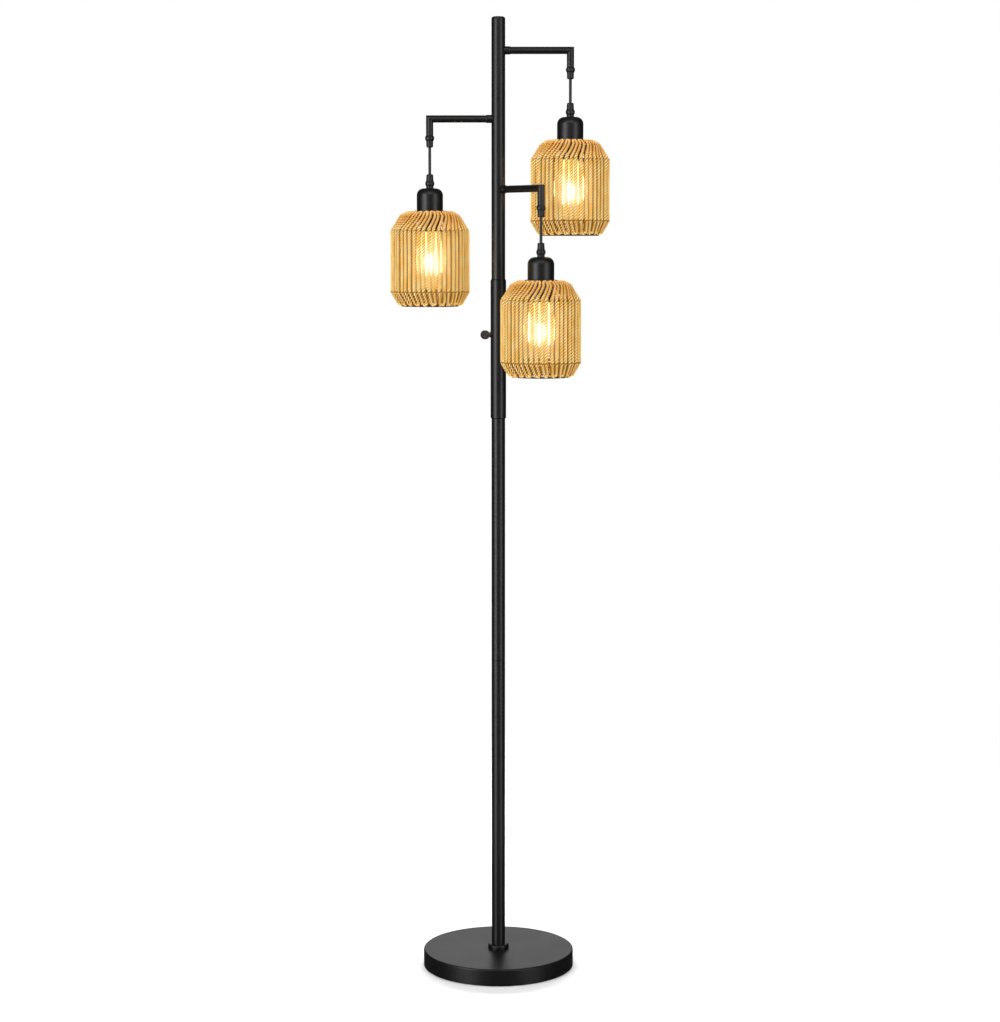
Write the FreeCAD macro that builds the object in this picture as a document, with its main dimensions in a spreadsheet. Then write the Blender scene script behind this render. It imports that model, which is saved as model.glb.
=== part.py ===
import FreeCAD, Part
import math
import os
import re
from collections import namedtuple

import Sketcher

# Tree floor lamp. A weighted round base carries a slim pole in three lengths with a switch sleeve.
# Three bent arms hold one hanging lamp each: a cord between two grips, a socket cup, a holder, a bulb
# and a shade of rope wound over a wire frame.
# Millimetres, +Z up. The origin is on the floor, on the pole's axis. The first arm points along +X.

ARMS = (1, 2, 3)

SIZES = {
    # Base
    "base_diameter": 267.7,
    "base_height": 30.15,  # floor to the top of the cover
    "base_wall": 1.5,
    "base_edge_radius": 2.5,
    "base_lift": 1.2,  # floor to the cover's lower rim
    "pad_thickness": 2.5,
    "plate_thickness": 1.5,
    "rim_gap": 0.5,  # between the cover's wall and what sits inside it
    "weight_diameter": 236.0,
    "weight_height": 16.0,
    "recess_diameter": 46.0,  # under the weight, for the nut
    "recess_depth": 9.0,
    "washer_diameter": 34.0,
    "washer_thickness": 1.5,
    "nut_width": 16.0,  # across the corners of the base nut
    "nut_height": 5.0,
    "grommet_diameter": 6.6,
    "grommet_flange": 0.9,
    "grommet_seat": 0.1,  # its inner flange to the round wall, on the hole's axis
    # Threaded tube that holds the base to the pole, and the pole's lengths to each other
    "nipple_diameter": 10.0,
    "nipple_bore": 6.4,
    "nipple_end": 1.6,  # what shows past the nut
    "thread_gap": 0.05,
    "insert_length": 22.0,
    "thread_short": 1.0,  # how far a stud stops short of the insert's far end
    # Pole
    "pole_height": 1676.0,
    "tube_diameter": 23.8,
    "tube_wall": 1.2,
    "seam_height": 555.0,
    "seam_chamfer": 0.4,
    "tube_end_break": 0.2,
    "foot_ring_diameter": 36.9,
    "foot_ring_height": 7.8,
    "foot_ring_rounding": 3.6,
    "slide_gap": 0.1,
    "sleeve_bottom": 983.1,
    "sleeve_length": 242.8,
    "sleeve_wall": 1.6,
    "sleeve_chamfer": 1.4,
    "sleeve_overlap": 35.0,
    "cap_rounding": 4.2,
    "cap_rim": 5.0,
    "cap_plug": 8.0,
    "cap_wall": 1.6,
    # Rotary switch, its axis level and turned towards the viewer
    "knob_height": 1129.8,
    "knob_azimuth": 205.0,
    "knob_diameter": 15.6,
    "knob_thickness": 5.6,
    "knob_rim": 1.5,
    "knob_dish": 0.8,
    "knob_mark": 2.2,
    "knob_neck": 7.6,
    "knob_gap": 0.3,  # bushing to the knob's neck
    "knob_neck_length": 1.1,  # what shows before the disc
    "shaft_diameter": 6.0,
    "shaft_gap": 0.05,
    "shaft_start": 2.0,
    "shaft_short": 3.4,  # shaft's end to the middle of the knob's disc
    "switch_back": 7.0,
    "switch_front": 6.0,
    "switch_width": 16.0,
    "switch_height": 20.0,
    "bushing_diameter": 8.0,
    "bushing_show": 0.5,  # past the ring nut
    "ring_nut_diameter": 10.6,
    "ring_nut_height": 2.0,
    "ring_nut_chamfer": 0.6,
    # Arms
    "arm_1_height": 1618.6,
    "arm_1_reach": 124.4,
    "arm_1_azimuth": 0.0,
    "arm_2_height": 1501.9,
    "arm_2_reach": 118.8,
    "arm_2_azimuth": 180.0,
    "arm_3_height": 1381.0,
    "arm_3_reach": 121.8,
    "arm_3_azimuth": -53.5,
    "arm_diameter": 12.5,
    "arm_wall": 1.2,
    "arm_drop": 28.2,
    "ferrule_diameter": 14.0,
    "ferrule_length": 9.0,
    "ferrule_chamfer": 0.8,
    "ferrule_stop": 3.0,  # pole to the arm's end inside the ferrule
    "spigot_diameter": 9.0,
    "spigot_bore": 6.8,
    "spigot_show": 0.6,  # past the inside of the pole's wall
    # Wires
    "wire_diameter": 3.0,
    "wire_bend": 5.0,
    "supply_diameter": 5.0,
    "supply_bend": 6.5,
    "splice_diameter": 5.0,
    "splice_length": 12.0,
    # Grips and hanging cord, measured down from the arm's centreline
    "cord_diameter": 5.0,
    "cord_1_length": 40.2,  # what shows between the two grips
    "cord_2_length": 45.8,
    "cord_3_length": 42.8,
    "cord_gap": 0.3,
    "flare_depth": 3.0,  # grip's mouth to the point the cord bends about
    "flare_spread": 0.75,
    "grip_length": 20.8,
    "grip_bulge": 15.8,
    "grip_bulge_height": 9.6,
    "grip_nose": 11.8,
    "grip_neck": 12.2,
    "grip_rounding": 2.2,
    "grip_plug_length": 8.0,
    "grip_plug_gap": 0.15,
    "lower_grip_length": 24.0,
    "lower_grip_neck": 12.8,
    "lower_grip_neck_height": 3.2,
    "stub_diameter": 9.8,
    "stub_length": 17.0,
    # Socket cup and holder, measured from the cup's lower rim
    "cup_diameter": 45.5,
    "cup_height": 38.6,
    "cup_wall": 1.0,
    "cup_shoulder": 12.4,
    "holder_diameter": 37.8,
    "holder_top": 26.0,
    "holder_shoulder": 20.0,
    "holder_neck": 28.0,
    "holder_flange": 42.6,
    "holder_flange_height": 3.0,
    "holder_drop": 33.0,
    "holder_bore": 27.2,
    "holder_bore_depth": 23.0,
    "holder_entry": 10.0,
    "shade_ring_diameter": 49.0,
    "shade_ring_height": 6.5,
    # Bulb
    "bulb_cap_diameter": 26.0,
    "bulb_cap_height": 22.0,
    "bulb_cap_wall": 0.6,
    "bulb_cap_head": 4.0,  # solid end of the cap
    "bulb_cap_chamfer": 2.0,
    "bulb_contact_diameter": 9.0,
    "bulb_contact_height": 1.6,
    "bulb_show": 1.0,  # the cap's end past the holder's
    "bulb_diameter": 60.0,
    "bulb_centre_drop": 84.0,
    "bulb_wall": 0.8,
    # Shade: radii and depths of its frame wires, below the cup's rim
    "collar_plate_diameter": 54.0,
    "collar_plate_thickness": 1.5,
    "collar_plate_hole": 38.4,
    "spoke_start_radius": 26.3,
    "spoke_start_drop": 1.9,
    "top_ring_radius": 47.4,
    "top_ring_drop": 12.4,
    "side_ring_radius": 61.2,
    "upper_ring_drop": 35.0,
    "lower_ring_drop": 138.6,
    "bottom_ring_radius": 49.0,
    "bottom_ring_drop": 163.8,
    "bottom_ring_wire": 3.6,
    "rib_end_radius": 46.2,  # the ribs end on the inside of the bottom ring
    "ring_wire": 3.0,
    "rib_wire": 2.6,
    "rib_count": 6,
    # Rope: loops go down and up again, so the shade shows twice as many runs
    "rope_diameter": 5.0,
    "rope_gap": 0.3,  # rope to frame wire
    "loop_count": 24,
    "rope_inner_radius": 41.9,
    "rope_stop": 10.6,  # how far each run stops short of the bottom ring, for its return bend
    "top_lean": 7.5,  # degrees the rope leans over the upper slope
    "bottom_lean": 3.75,
}

Arc = namedtuple("Arc", "centre end")
TO_EAST = ("0; 1; 0", 90)  # tips an upright solid onto +X
TO_NORTH = ("1; 0; 0", -90)  # tips it onto +Y
WORD = re.compile(r"\b[a-z][a-z0-9_]*\b")

document = FreeCAD.newDocument("TreeFloorLamp")
sheet = document.addObject("Spreadsheet::Sheet", "Sizes")
nodes = {}


def fill_sheet():
    for row, (alias, size) in enumerate(SIZES.items(), start=1):
        sheet.set(f"A{row}", alias)
        sheet.set(f"B{row}", str(size))
        sheet.setAlias(f"B{row}", alias)
    document.recompute()


def bound(formula):
    """The formula with each named size read from the sheet."""
    return WORD.sub(lambda m: f"Sizes.{m[0]}" if m[0] in SIZES else m[0], formula)


def value(formula):
    return float(sheet.evalExpression(bound(formula)))


def place(thing, east="0", north="0", up="0", turn="0", tip=None):
    """Binds where a piece stands, its turn about the upright axis and how it was tipped first."""
    rotation = f"create(<<rotation>>; create(<<vector>>; 0; 0; 1); {turn})"
    if tip:
        rotation += f" * create(<<rotation>>; create(<<vector>>; {tip[0]}); {tip[1]})"
    for way, formula in zip("xyz", (east, north, up)):
        thing.setExpression(f"Placement.Base.{way}", bound(formula))
    thing.setExpression("Placement.Rotation", bound(rotation))
    return thing


def node(thing, name):
    """Marks a piece as one of the lamp's own, to be written under this name."""
    thing.Label = name
    nodes[name] = thing
    return thing


# Sketches and bodies


def new_body(name):
    return document.addObject("PartDesign::Body", name)


def origin_plane(body, role):
    return next(f for f in body.Origin.OriginFeatures if f.Role == role)


def new_sketch(body, role, name):
    sketch = body.newObject("Sketcher::SketchObject", name)
    sketch.AttachmentSupport = [(origin_plane(body, role), "")]
    sketch.MapMode = "FlatFace"
    return sketch


def dimension(sketch, kind, edge, point, formula):
    made = sketch.addConstraint(Sketcher.Constraint(kind, -1, 1, edge, point, value(formula)))
    sketch.setExpression(f"Constraints[{made}]", bound(formula))


def spot(pair):
    return FreeCAD.Vector(value(pair[0]), value(pair[1]), 0)


def add_edge(sketch, start, step):
    """Adds a line or an arc, and gives the numbers of its start and end points."""
    if not isinstance(step, Arc):
        sketch.addGeometry(Part.LineSegment(start, spot(step)), False)
        return 1, 2
    centre, end = spot(step.centre), spot(step.end)
    circle = Part.Circle(centre, FreeCAD.Vector(0, 0, 1), centre.distanceToPoint(start))
    first = math.atan2(start.y - centre.y, start.x - centre.x)
    last = math.atan2(end.y - centre.y, end.x - centre.x)
    forward = math.remainder(last - first, 2 * math.pi) > 0
    low, high = (first, last) if forward else (last, first)
    sketch.addGeometry(Part.ArcOfCircle(circle, low, high), False)
    return (1, 2) if forward else (2, 1)


def draw(sketch, outline, closed=True):
    """Draws an outline of corners and arcs, every one of them held by a formula.

    An arc's end has one dimension, across its radius, because its centre and start give the rest.
    """
    first_edge = len(sketch.Geometry)
    corners = [step.end if isinstance(step, Arc) else step for step in outline]
    steps = outline[1:] + outline[:1] if closed else outline[1:]
    ends = [add_edge(sketch, spot(corner), step) for corner, step in zip(corners, steps)]
    count = len(steps)

    def hold(corner, edge, point):
        step = outline[corner]
        across, along = ("DistanceX", 0), ("DistanceY", 1)
        held = [across, along]
        if isinstance(step, Arc):
            reach = spot(step.end) - spot(step.centre)
            held = [across] if abs(reach.x) < abs(reach.y) else [along]
        for kind, way in held:
            dimension(sketch, kind, edge, point, corners[corner][way])

    for edge, (start, end) in enumerate(ends):
        hold(edge, first_edge + edge, start)
        after = (edge + 1) % count
        if closed or after:
            link = (first_edge + edge, end, first_edge + after, ends[after][0])
            sketch.addConstraint(Sketcher.Constraint("Coincident", *link))
        else:
            hold(len(outline) - 1, first_edge + edge, end)
        if isinstance(steps[edge], Arc):
            dimension(sketch, "DistanceX", first_edge + edge, 3, steps[edge].centre[0])
            dimension(sketch, "DistanceY", first_edge + edge, 3, steps[edge].centre[1])
    return sketch


def draw_circle(sketch, radius, centre=("0", "0")):
    edge = sketch.addGeometry(
        Part.Circle(spot(centre), FreeCAD.Vector(0, 0, 1), value(radius)), False
    )
    made = sketch.addConstraint(Sketcher.Constraint("Radius", edge, value(radius)))
    sketch.setExpression(f"Constraints[{made}]", bound(radius))
    dimension(sketch, "DistanceX", edge, 3, centre[0])
    dimension(sketch, "DistanceY", edge, 3, centre[1])


def turned(name, outline, axis="V_Axis"):
    """A piece turned about the upright axis, or about the level one, from half its section."""
    body = new_body(name)
    sketch = draw(new_sketch(body, "XZ_Plane", f"{name}_section"), outline)
    turning = body.newObject("PartDesign::Revolution", f"{name}_turning")
    turning.Profile = sketch
    turning.ReferenceAxis = (sketch, [axis])
    turning.Angle = 360
    return body


def bent_tube(name, route, start, radii, corner="Round corner", heading="YZ_Plane"):
    """A tube or a solid wire along a route in the upright plane.

    start is how far the first section stands from the plane it is drawn on.
    """
    body = new_body(name)
    spine = draw(new_sketch(body, "XZ_Plane", f"{name}_route"), route, closed=False)
    section = new_sketch(body, heading, f"{name}_section")
    section.setExpression("AttachmentOffset.Base.z", bound(start[0]))
    for radius in radii:
        draw_circle(section, radius, start[1])
    document.recompute()
    pipe = body.newObject("PartDesign::AdditivePipe", f"{name}_pipe")
    pipe.Profile = section
    pipe.Spine = (spine, [f"Edge{n + 1}" for n in range(len(route) - 1)])
    pipe.Transition = corner
    return body


# Plain solids, and what is cut from or joined to them


def cylinder(name, radius, height, east="0", north="0", up="0", turn="0", tip=None):
    """A cylinder that starts at a point, upright unless it is tipped."""
    thing = document.addObject("Part::Cylinder", name)
    thing.setExpression("Radius", bound(radius))
    thing.setExpression("Height", bound(height))
    return place(thing, east, north, up, turn, tip)


def cut(name, base, *tools):
    thing = document.addObject("Part::Cut", name)
    thing.Base = base
    thing.Tool = tools[0] if len(tools) == 1 else fuse(f"{name}_tools", *tools)
    return thing


def fuse(name, *members):
    thing = document.addObject("Part::MultiFuse", name)
    thing.Shapes = list(members)
    return thing


def group(name, *members):
    thing = document.addObject("Part::Compound", name)
    thing.Links = list(members)
    return thing


def ring(name, outer, inner, bottom, top):
    """A plain ring, given by two radii and two heights."""
    corners = [(outer, bottom), (outer, top), (inner, top), (inner, bottom)]
    return turned(name, corners)


# Heights that several pieces share

TUBE_RADIUS = "tube_diameter / 2"
TUBE_BORE = "(tube_diameter / 2 - tube_wall)"
BASE_RADIUS = "base_diameter / 2"
BASE_INSIDE = "(base_diameter / 2 - base_wall)"
PLATE_TOP = "(pad_thickness + plate_thickness)"
WEIGHT_TOP = "(base_height - base_wall)"
WEIGHT_BOTTOM = f"({WEIGHT_TOP} - weight_height)"
RECESS_TOP = f"({WEIGHT_BOTTOM} + recess_depth)"
NUT_TOP = f"({RECESS_TOP} - washer_thickness)"
NUT_BOTTOM = f"({NUT_TOP} - nut_height)"
CORD_LEVEL = f"(({PLATE_TOP} + {WEIGHT_BOTTOM}) / 2)"
NIPPLE_RADIUS = "nipple_diameter / 2"
NIPPLE_HOLE = "(nipple_diameter / 2 + thread_gap)"
SLEEVE_TOP = "(sleeve_bottom + sleeve_length)"
SLEEVE_BORE = "(tube_diameter / 2 + slide_gap)"
SLEEVE_RADIUS = f"({SLEEVE_BORE} + sleeve_wall)"
SWITCH_TOP = "(knob_height + switch_height / 2)"
SWITCH_BOTTOM = "(knob_height - switch_height / 2)"

# Distances along the switch's axis, from the pole's axis

NUT_SEAT = f"({SLEEVE_RADIUS} + slide_gap)"
BUSHING_END = f"({NUT_SEAT} + ring_nut_height + bushing_show)"
NECK_START = f"({BUSHING_END} + knob_gap)"
KNOB_REACH = f"({NECK_START} + knob_neck_length + knob_diameter / 2)"
SHAFT_END = f"({KNOB_REACH} - shaft_short)"

# Drops below an arm's centreline

UPPER_BEND = "(arm_drop + grip_length - flare_depth)"
CORD_BOTTOM = {n: f"(arm_drop + grip_length + cord_{n}_length)" for n in ARMS}
LOWER_BEND = {n: f"({CORD_BOTTOM[n]} + flare_depth)" for n in ARMS}
CUP_TOP = {n: f"({CORD_BOTTOM[n]} + lower_grip_length)" for n in ARMS}
CUP_RIM = {n: f"({CUP_TOP[n]} + cup_height)" for n in ARMS}
CORD_RADIUS = "cord_diameter / 2"
CORD_BORE = "(cord_diameter / 2 + cord_gap)"
FLARE = "(cord_diameter / 2 + cord_gap + flare_spread)"


# Base


def base_cover():
    edge_centre = (f"{BASE_RADIUS} - base_edge_radius", "base_height - base_edge_radius")
    inner_corner = (f"{BASE_RADIUS} - base_edge_radius", WEIGHT_TOP)
    dish = turned(
        "base_dish",
        [
            (BASE_RADIUS, "base_lift"),
            (BASE_RADIUS, "base_height - base_edge_radius"),
            Arc(edge_centre, (f"{BASE_RADIUS} - base_edge_radius", "base_height")),
            (NIPPLE_HOLE, "base_height"),
            (NIPPLE_HOLE, WEIGHT_TOP),
            inner_corner,
            Arc(edge_centre, (BASE_INSIDE, "base_height - base_edge_radius")),
            (BASE_INSIDE, "base_lift"),
        ],
    )
    hole = cylinder(
        "cord_hole",
        "grommet_diameter / 2",
        "4 * base_wall",
        north=f"{BASE_RADIUS} - 3 * base_wall",
        up=CORD_LEVEL,
        tip=TO_NORTH,
    )
    node(cut("cover_drilled", dish, hole), "base_cover")


def base_inside():
    weight = [
        (NIPPLE_HOLE, WEIGHT_TOP),
        (NIPPLE_HOLE, RECESS_TOP),
        ("recess_diameter / 2", RECESS_TOP),
        ("recess_diameter / 2", WEIGHT_BOTTOM),
        ("weight_diameter / 2", WEIGHT_BOTTOM),
        ("weight_diameter / 2", WEIGHT_TOP),
    ]
    node(turned("weight", weight), "base_weight")
    inside = f"{BASE_INSIDE} - rim_gap"
    plate = cylinder("plate", inside, "plate_thickness", up="pad_thickness")
    node(plate, "base_bottom_plate")
    node(cylinder("pad", inside, "pad_thickness"), "base_pad")


def base_fixings():
    washer = ring("washer", "washer_diameter / 2", NIPPLE_HOLE, NUT_TOP, RECESS_TOP)
    node(washer, "base_washer")
    blank = document.addObject("Part::Prism", "nut_blank")
    blank.Polygon = 6
    blank.setExpression("Circumradius", bound("nut_width / 2"))
    blank.setExpression("Height", bound("nut_height"))
    place(blank, up=NUT_BOTTOM)
    hole = cylinder("nut_hole", NIPPLE_HOLE, "2 * nut_height", up=f"{NUT_BOTTOM} - nut_height / 2")
    node(cut("nut", blank, hole), "base_nut")
    top = "base_height + insert_length - thread_short"
    nipple = ring("nipple", NIPPLE_RADIUS, "nipple_bore / 2", f"{NUT_BOTTOM} - nipple_end", top)
    node(nipple, "base_nipple")


def cord_grommet():
    """A rubber bush in the rear wall, where the supply cord comes in."""
    hole = "supply_diameter / 2"
    neck = "grommet_diameter / 2 - thread_gap"
    flange = "grommet_diameter / 2 + grommet_flange"
    outline = [
        ("-grommet_seat - grommet_flange", hole),
        ("-grommet_seat - grommet_flange", flange),
        ("-grommet_seat", flange),
        ("-grommet_seat", neck),
        ("base_wall", neck),
        ("base_wall", flange),
        ("base_wall + grommet_flange", flange),
        ("base_wall + grommet_flange", hole),
    ]
    bush = turned("grommet", outline, axis="H_Axis")
    place(bush, north=BASE_INSIDE, up=CORD_LEVEL, turn="90")
    node(bush, "cord_grommet")


# Pole


def pole_tube(name, bottom, top, *ends):
    """A length of pole; the ends named here are chamfered where they meet a like length."""
    low = "seam_chamfer" if "bottom" in ends else "tube_end_break"
    high = "seam_chamfer" if "top" in ends else "tube_end_break"
    outline = [
        (TUBE_BORE, bottom),
        (f"{TUBE_RADIUS} - {low}", bottom),
        (TUBE_RADIUS, f"{bottom} + {low}"),
        (TUBE_RADIUS, f"{top} - {high}"),
        (f"{TUBE_RADIUS} - {high}", top),
        (TUBE_BORE, top),
    ]
    return turned(name, outline)


def pole():
    foot = [
        (SLEEVE_BORE, "base_height"),
        ("foot_ring_diameter / 2", "base_height"),
        ("foot_ring_diameter / 2", "base_height + foot_ring_height - foot_ring_rounding"),
        Arc(
            (
                "foot_ring_diameter / 2 - foot_ring_rounding",
                "base_height + foot_ring_height - foot_ring_rounding",
            ),
            (
                "foot_ring_diameter / 2 - foot_ring_rounding",
                "base_height + foot_ring_height",
            ),
        ),
        (SLEEVE_BORE, "base_height + foot_ring_height"),
    ]
    node(turned("foot_ring", foot), "pole_foot_ring")
    node(pole_tube("lower_tube", "base_height", "seam_height", "top"), "lower_pole")
    middle_top = "sleeve_bottom + sleeve_overlap"
    node(pole_tube("middle_tube", "seam_height", middle_top, "bottom"), "middle_pole")
    upper_bottom = f"{SLEEVE_TOP} - sleeve_overlap"
    plain = pole_tube("upper_tube", upper_bottom, "pole_height - cap_rim", "top")
    drills = [
        cylinder(
            f"arm_hole_{n}",
            "spigot_diameter / 2 + slide_gap",
            "tube_diameter",
            up=f"arm_{n}_height",
            turn=f"arm_{n}_azimuth",
            tip=TO_EAST,
        )
        for n in ARMS
    ]
    node(cut("upper_drilled", plain, *drills), "upper_pole")


def pole_joints():
    """Threaded inserts pressed into the tube ends, and the stud between the two lower lengths."""
    inserts = [
        ring(f"tube_insert_{n}", f"{TUBE_BORE} - thread_gap", NIPPLE_HOLE, low, high)
        for n, (low, high) in enumerate(
            [
                ("base_height", "base_height + insert_length"),
                ("seam_height - insert_length", "seam_height"),
                ("seam_height", "seam_height + insert_length"),
            ],
            start=1,
        )
    ]
    node(group("inserts", *inserts), "tube_inserts")
    engaged = "(insert_length - thread_short)"
    low, high = f"seam_height - {engaged}", f"seam_height + {engaged}"
    node(ring("stud", NIPPLE_RADIUS, "nipple_bore / 2", low, high), "seam_stud")


def switch_sleeve():
    outline = [
        (SLEEVE_BORE, "sleeve_bottom"),
        (f"{SLEEVE_RADIUS} - sleeve_chamfer", "sleeve_bottom"),
        (SLEEVE_RADIUS, "sleeve_bottom + sleeve_chamfer"),
        (SLEEVE_RADIUS, f"{SLEEVE_TOP} - sleeve_chamfer"),
        (f"{SLEEVE_RADIUS} - sleeve_chamfer", SLEEVE_TOP),
        (SLEEVE_BORE, SLEEVE_TOP),
    ]
    hole = cylinder(
        "bushing_hole",
        "bushing_diameter / 2 + slide_gap",
        f"2 * {SLEEVE_RADIUS}",
        up="knob_height",
        turn="knob_azimuth",
        tip=TO_EAST,
    )
    node(cut("sleeve_drilled", turned("sleeve", outline), hole), "switch_sleeve")


def pole_cap():
    """A domed plug in the top of the pole."""
    rim = "pole_height - cap_rim"
    plug = f"({TUBE_BORE} - slide_gap)"
    outline = [
        ("0", "pole_height"),
        (f"{TUBE_RADIUS} - cap_rounding", "pole_height"),
        Arc(
            (f"{TUBE_RADIUS} - cap_rounding", "pole_height - cap_rounding"),
            (TUBE_RADIUS, "pole_height - cap_rounding"),
        ),
        (TUBE_RADIUS, rim),
        (plug, rim),
        (plug, f"{rim} - cap_plug"),
        (f"{plug} - cap_wall", f"{rim} - cap_plug"),
        (f"{plug} - cap_wall", f"{rim} + cap_wall"),
        ("0", f"{rim} + cap_wall"),
    ]
    node(turned("cap", outline), "pole_cap")


# Rotary switch. Its pieces are drawn along the local X axis and turned to the knob's azimuth.


def at_switch(thing):
    return place(thing, up="knob_height", turn="knob_azimuth")


def switch():
    case = document.addObject("Part::Box", "switch_case")
    case.setExpression("Length", bound("switch_back + switch_front"))
    case.setExpression("Width", bound("switch_width"))
    case.setExpression("Height", bound("switch_height"))
    place(case, "-switch_back", "-switch_width / 2", "-switch_height / 2")
    bushing = cylinder("bushing", "bushing_diameter / 2", BUSHING_END, tip=TO_EAST)
    bore = cylinder("bushing_bore", "shaft_diameter / 2 + shaft_gap", KNOB_REACH, tip=TO_EAST)
    body = cut("switch_bored", fuse("switch_blank", case, bushing), bore)
    node(at_switch(body), "switch_body")

    nut = [
        (NUT_SEAT, "bushing_diameter / 2 + thread_gap"),
        (NUT_SEAT, "ring_nut_diameter / 2"),
        (f"{NUT_SEAT} + ring_nut_height", "ring_nut_diameter / 2 - ring_nut_chamfer"),
        (f"{NUT_SEAT} + ring_nut_height", "bushing_diameter / 2 + thread_gap"),
    ]
    node(at_switch(turned("ring_nut", nut, axis="H_Axis")), "switch_ring_nut")
    length = f"{SHAFT_END} - shaft_start"
    shaft = cylinder("shaft", "shaft_diameter / 2", length, "shaft_start", tip=TO_EAST)
    node(at_switch(group("shaft_set", shaft)), "switch_shaft")


def switch_knob():
    """A round flat disc on a short neck, dished on both faces, with a mark near its outer edge."""
    low, high = "-knob_thickness / 2", "knob_thickness / 2"
    disc = cylinder("disc", "knob_diameter / 2", "knob_thickness", KNOB_REACH, low, tip=TO_NORTH)
    neck = cylinder("neck", "knob_neck / 2", f"{KNOB_REACH} - {NECK_START}", NECK_START, tip=TO_EAST)
    dish = "knob_diameter / 2 - knob_rim"
    dishes = [
        cylinder(f"dish_{side}", dish, "knob_dish", KNOB_REACH, start, tip=TO_NORTH)
        for side, start in (("near", low), ("far", f"{high} - knob_dish"))
    ]
    mark = cylinder(
        "mark",
        "knob_mark / 2",
        "2 * knob_dish",
        f"{KNOB_REACH} + knob_diameter / 2 - knob_rim - knob_mark",
        f"{high} - 2 * knob_dish",
        tip=TO_NORTH,
    )
    bore_radius, bore_length = "shaft_diameter / 2 + shaft_gap", f"{SHAFT_END} - {NECK_START}"
    bore = cylinder("knob_bore", bore_radius, bore_length, NECK_START, tip=TO_EAST)
    blank = fuse("knob_blank", cut("disc_dished", disc, *dishes, mark), neck)
    node(at_switch(cut("knob_bored", blank, bore)), "switch_knob")


# Arms, drawn along the local X axis from the pole's axis


def at_arm(thing, n):
    return place(thing, up=f"arm_{n}_height", turn=f"arm_{n}_azimuth")


def arm(n):
    start = f"{TUBE_RADIUS} + ferrule_stop"
    reach = f"arm_{n}_reach"
    route = [(start, "0"), (reach, "0"), (reach, "-arm_drop")]
    radii = ("arm_diameter / 2", "arm_diameter / 2 - arm_wall")
    tube = bent_tube(f"arm_tube_{n}", route, (start, ("0", "0")), radii, corner="Right corner")
    node(at_arm(tube, n), f"arm_{n}")


def arm_ferrule(n):
    """A ring that is saddled to the pole and holds the arm's root, with a spigot through the wall."""
    face = f"({TUBE_RADIUS} + ferrule_stop)"
    end = f"({TUBE_RADIUS} + ferrule_length)"
    spigot = "spigot_diameter / 2"
    shell = turned(
        f"ferrule_shell_{n}",
        [
            ("tube_diameter / 4", spigot),
            ("tube_diameter / 4", "ferrule_diameter / 2"),
            (f"{end} - ferrule_chamfer", "ferrule_diameter / 2"),
            (end, "ferrule_diameter / 2 - ferrule_chamfer / 2"),
            (end, "arm_diameter / 2 + thread_gap"),
            (face, "arm_diameter / 2 + thread_gap"),
            (face, spigot),
        ],
        axis="H_Axis",
    )
    saddle = f"{TUBE_RADIUS} + thread_gap"
    tube = cylinder(f"saddle_{n}", saddle, "2 * tube_diameter", up="-tube_diameter")
    neck = turned(
        f"spigot_{n}",
        [
            (f"{TUBE_BORE} - spigot_show", "spigot_bore / 2"),
            (f"{TUBE_BORE} - spigot_show", spigot),
            (face, spigot),
            (face, "spigot_bore / 2"),
        ],
        axis="H_Axis",
    )
    whole = fuse(f"ferrule_{n}", cut(f"ferrule_saddled_{n}", shell, tube), neck)
    node(at_arm(whole, n), f"arm_ferrule_{n}")


def wires():
    """The supply cord from the base to the switch, and one riser with a branch into each arm."""
    start = f"({BASE_INSIDE} - base_wall - grommet_flange)"
    supply = bent_tube(
        "supply",
        [
            (start, CORD_LEVEL),
            ("supply_bend", CORD_LEVEL),
            Arc(("supply_bend", f"{CORD_LEVEL} + supply_bend"), ("0", f"{CORD_LEVEL} + supply_bend")),
            ("0", SWITCH_BOTTOM),
        ],
        (start, ("0", CORD_LEVEL)),
        ("supply_diameter / 2",),
    )
    place(supply, turn="90")
    branches = []
    for n in ARMS:
        reach = f"arm_{n}_reach"
        branch = bent_tube(
            f"branch_{n}",
            [
                ("0", "0"),
                (f"{reach} - wire_bend", "0"),
                Arc((f"{reach} - wire_bend", "-wire_bend"), (reach, "-wire_bend")),
                (reach, f"-({UPPER_BEND} - cord_diameter / 2 - cord_gap)"),
            ],
            ("0", ("0", "0")),
            ("wire_diameter / 2",),
        )
        low = f"arm_{n}_height - splice_length / 2"
        splice = cylinder(f"splice_{n}", "splice_diameter / 2", "splice_length", up=low)
        branches += [at_arm(branch, n), splice]
    riser = cylinder("riser", "wire_diameter / 2", f"arm_1_height - {SWITCH_TOP}", up=SWITCH_TOP)
    node(group("harness", supply, fuse("riser_and_branches", riser, *branches)), "pole_wires")


# Hanging lamps. Heights are drawn down from the arm's centreline, or up from the cup's rim.


def under_arm(thing, n, drop="0"):
    reach, azimuth = f"arm_{n}_reach", f"arm_{n}_azimuth"
    return place(
        thing,
        f"{reach} * cos({azimuth})",
        f"{reach} * sin({azimuth})",
        f"arm_{n}_height - ({drop})",
        azimuth,
    )


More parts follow.
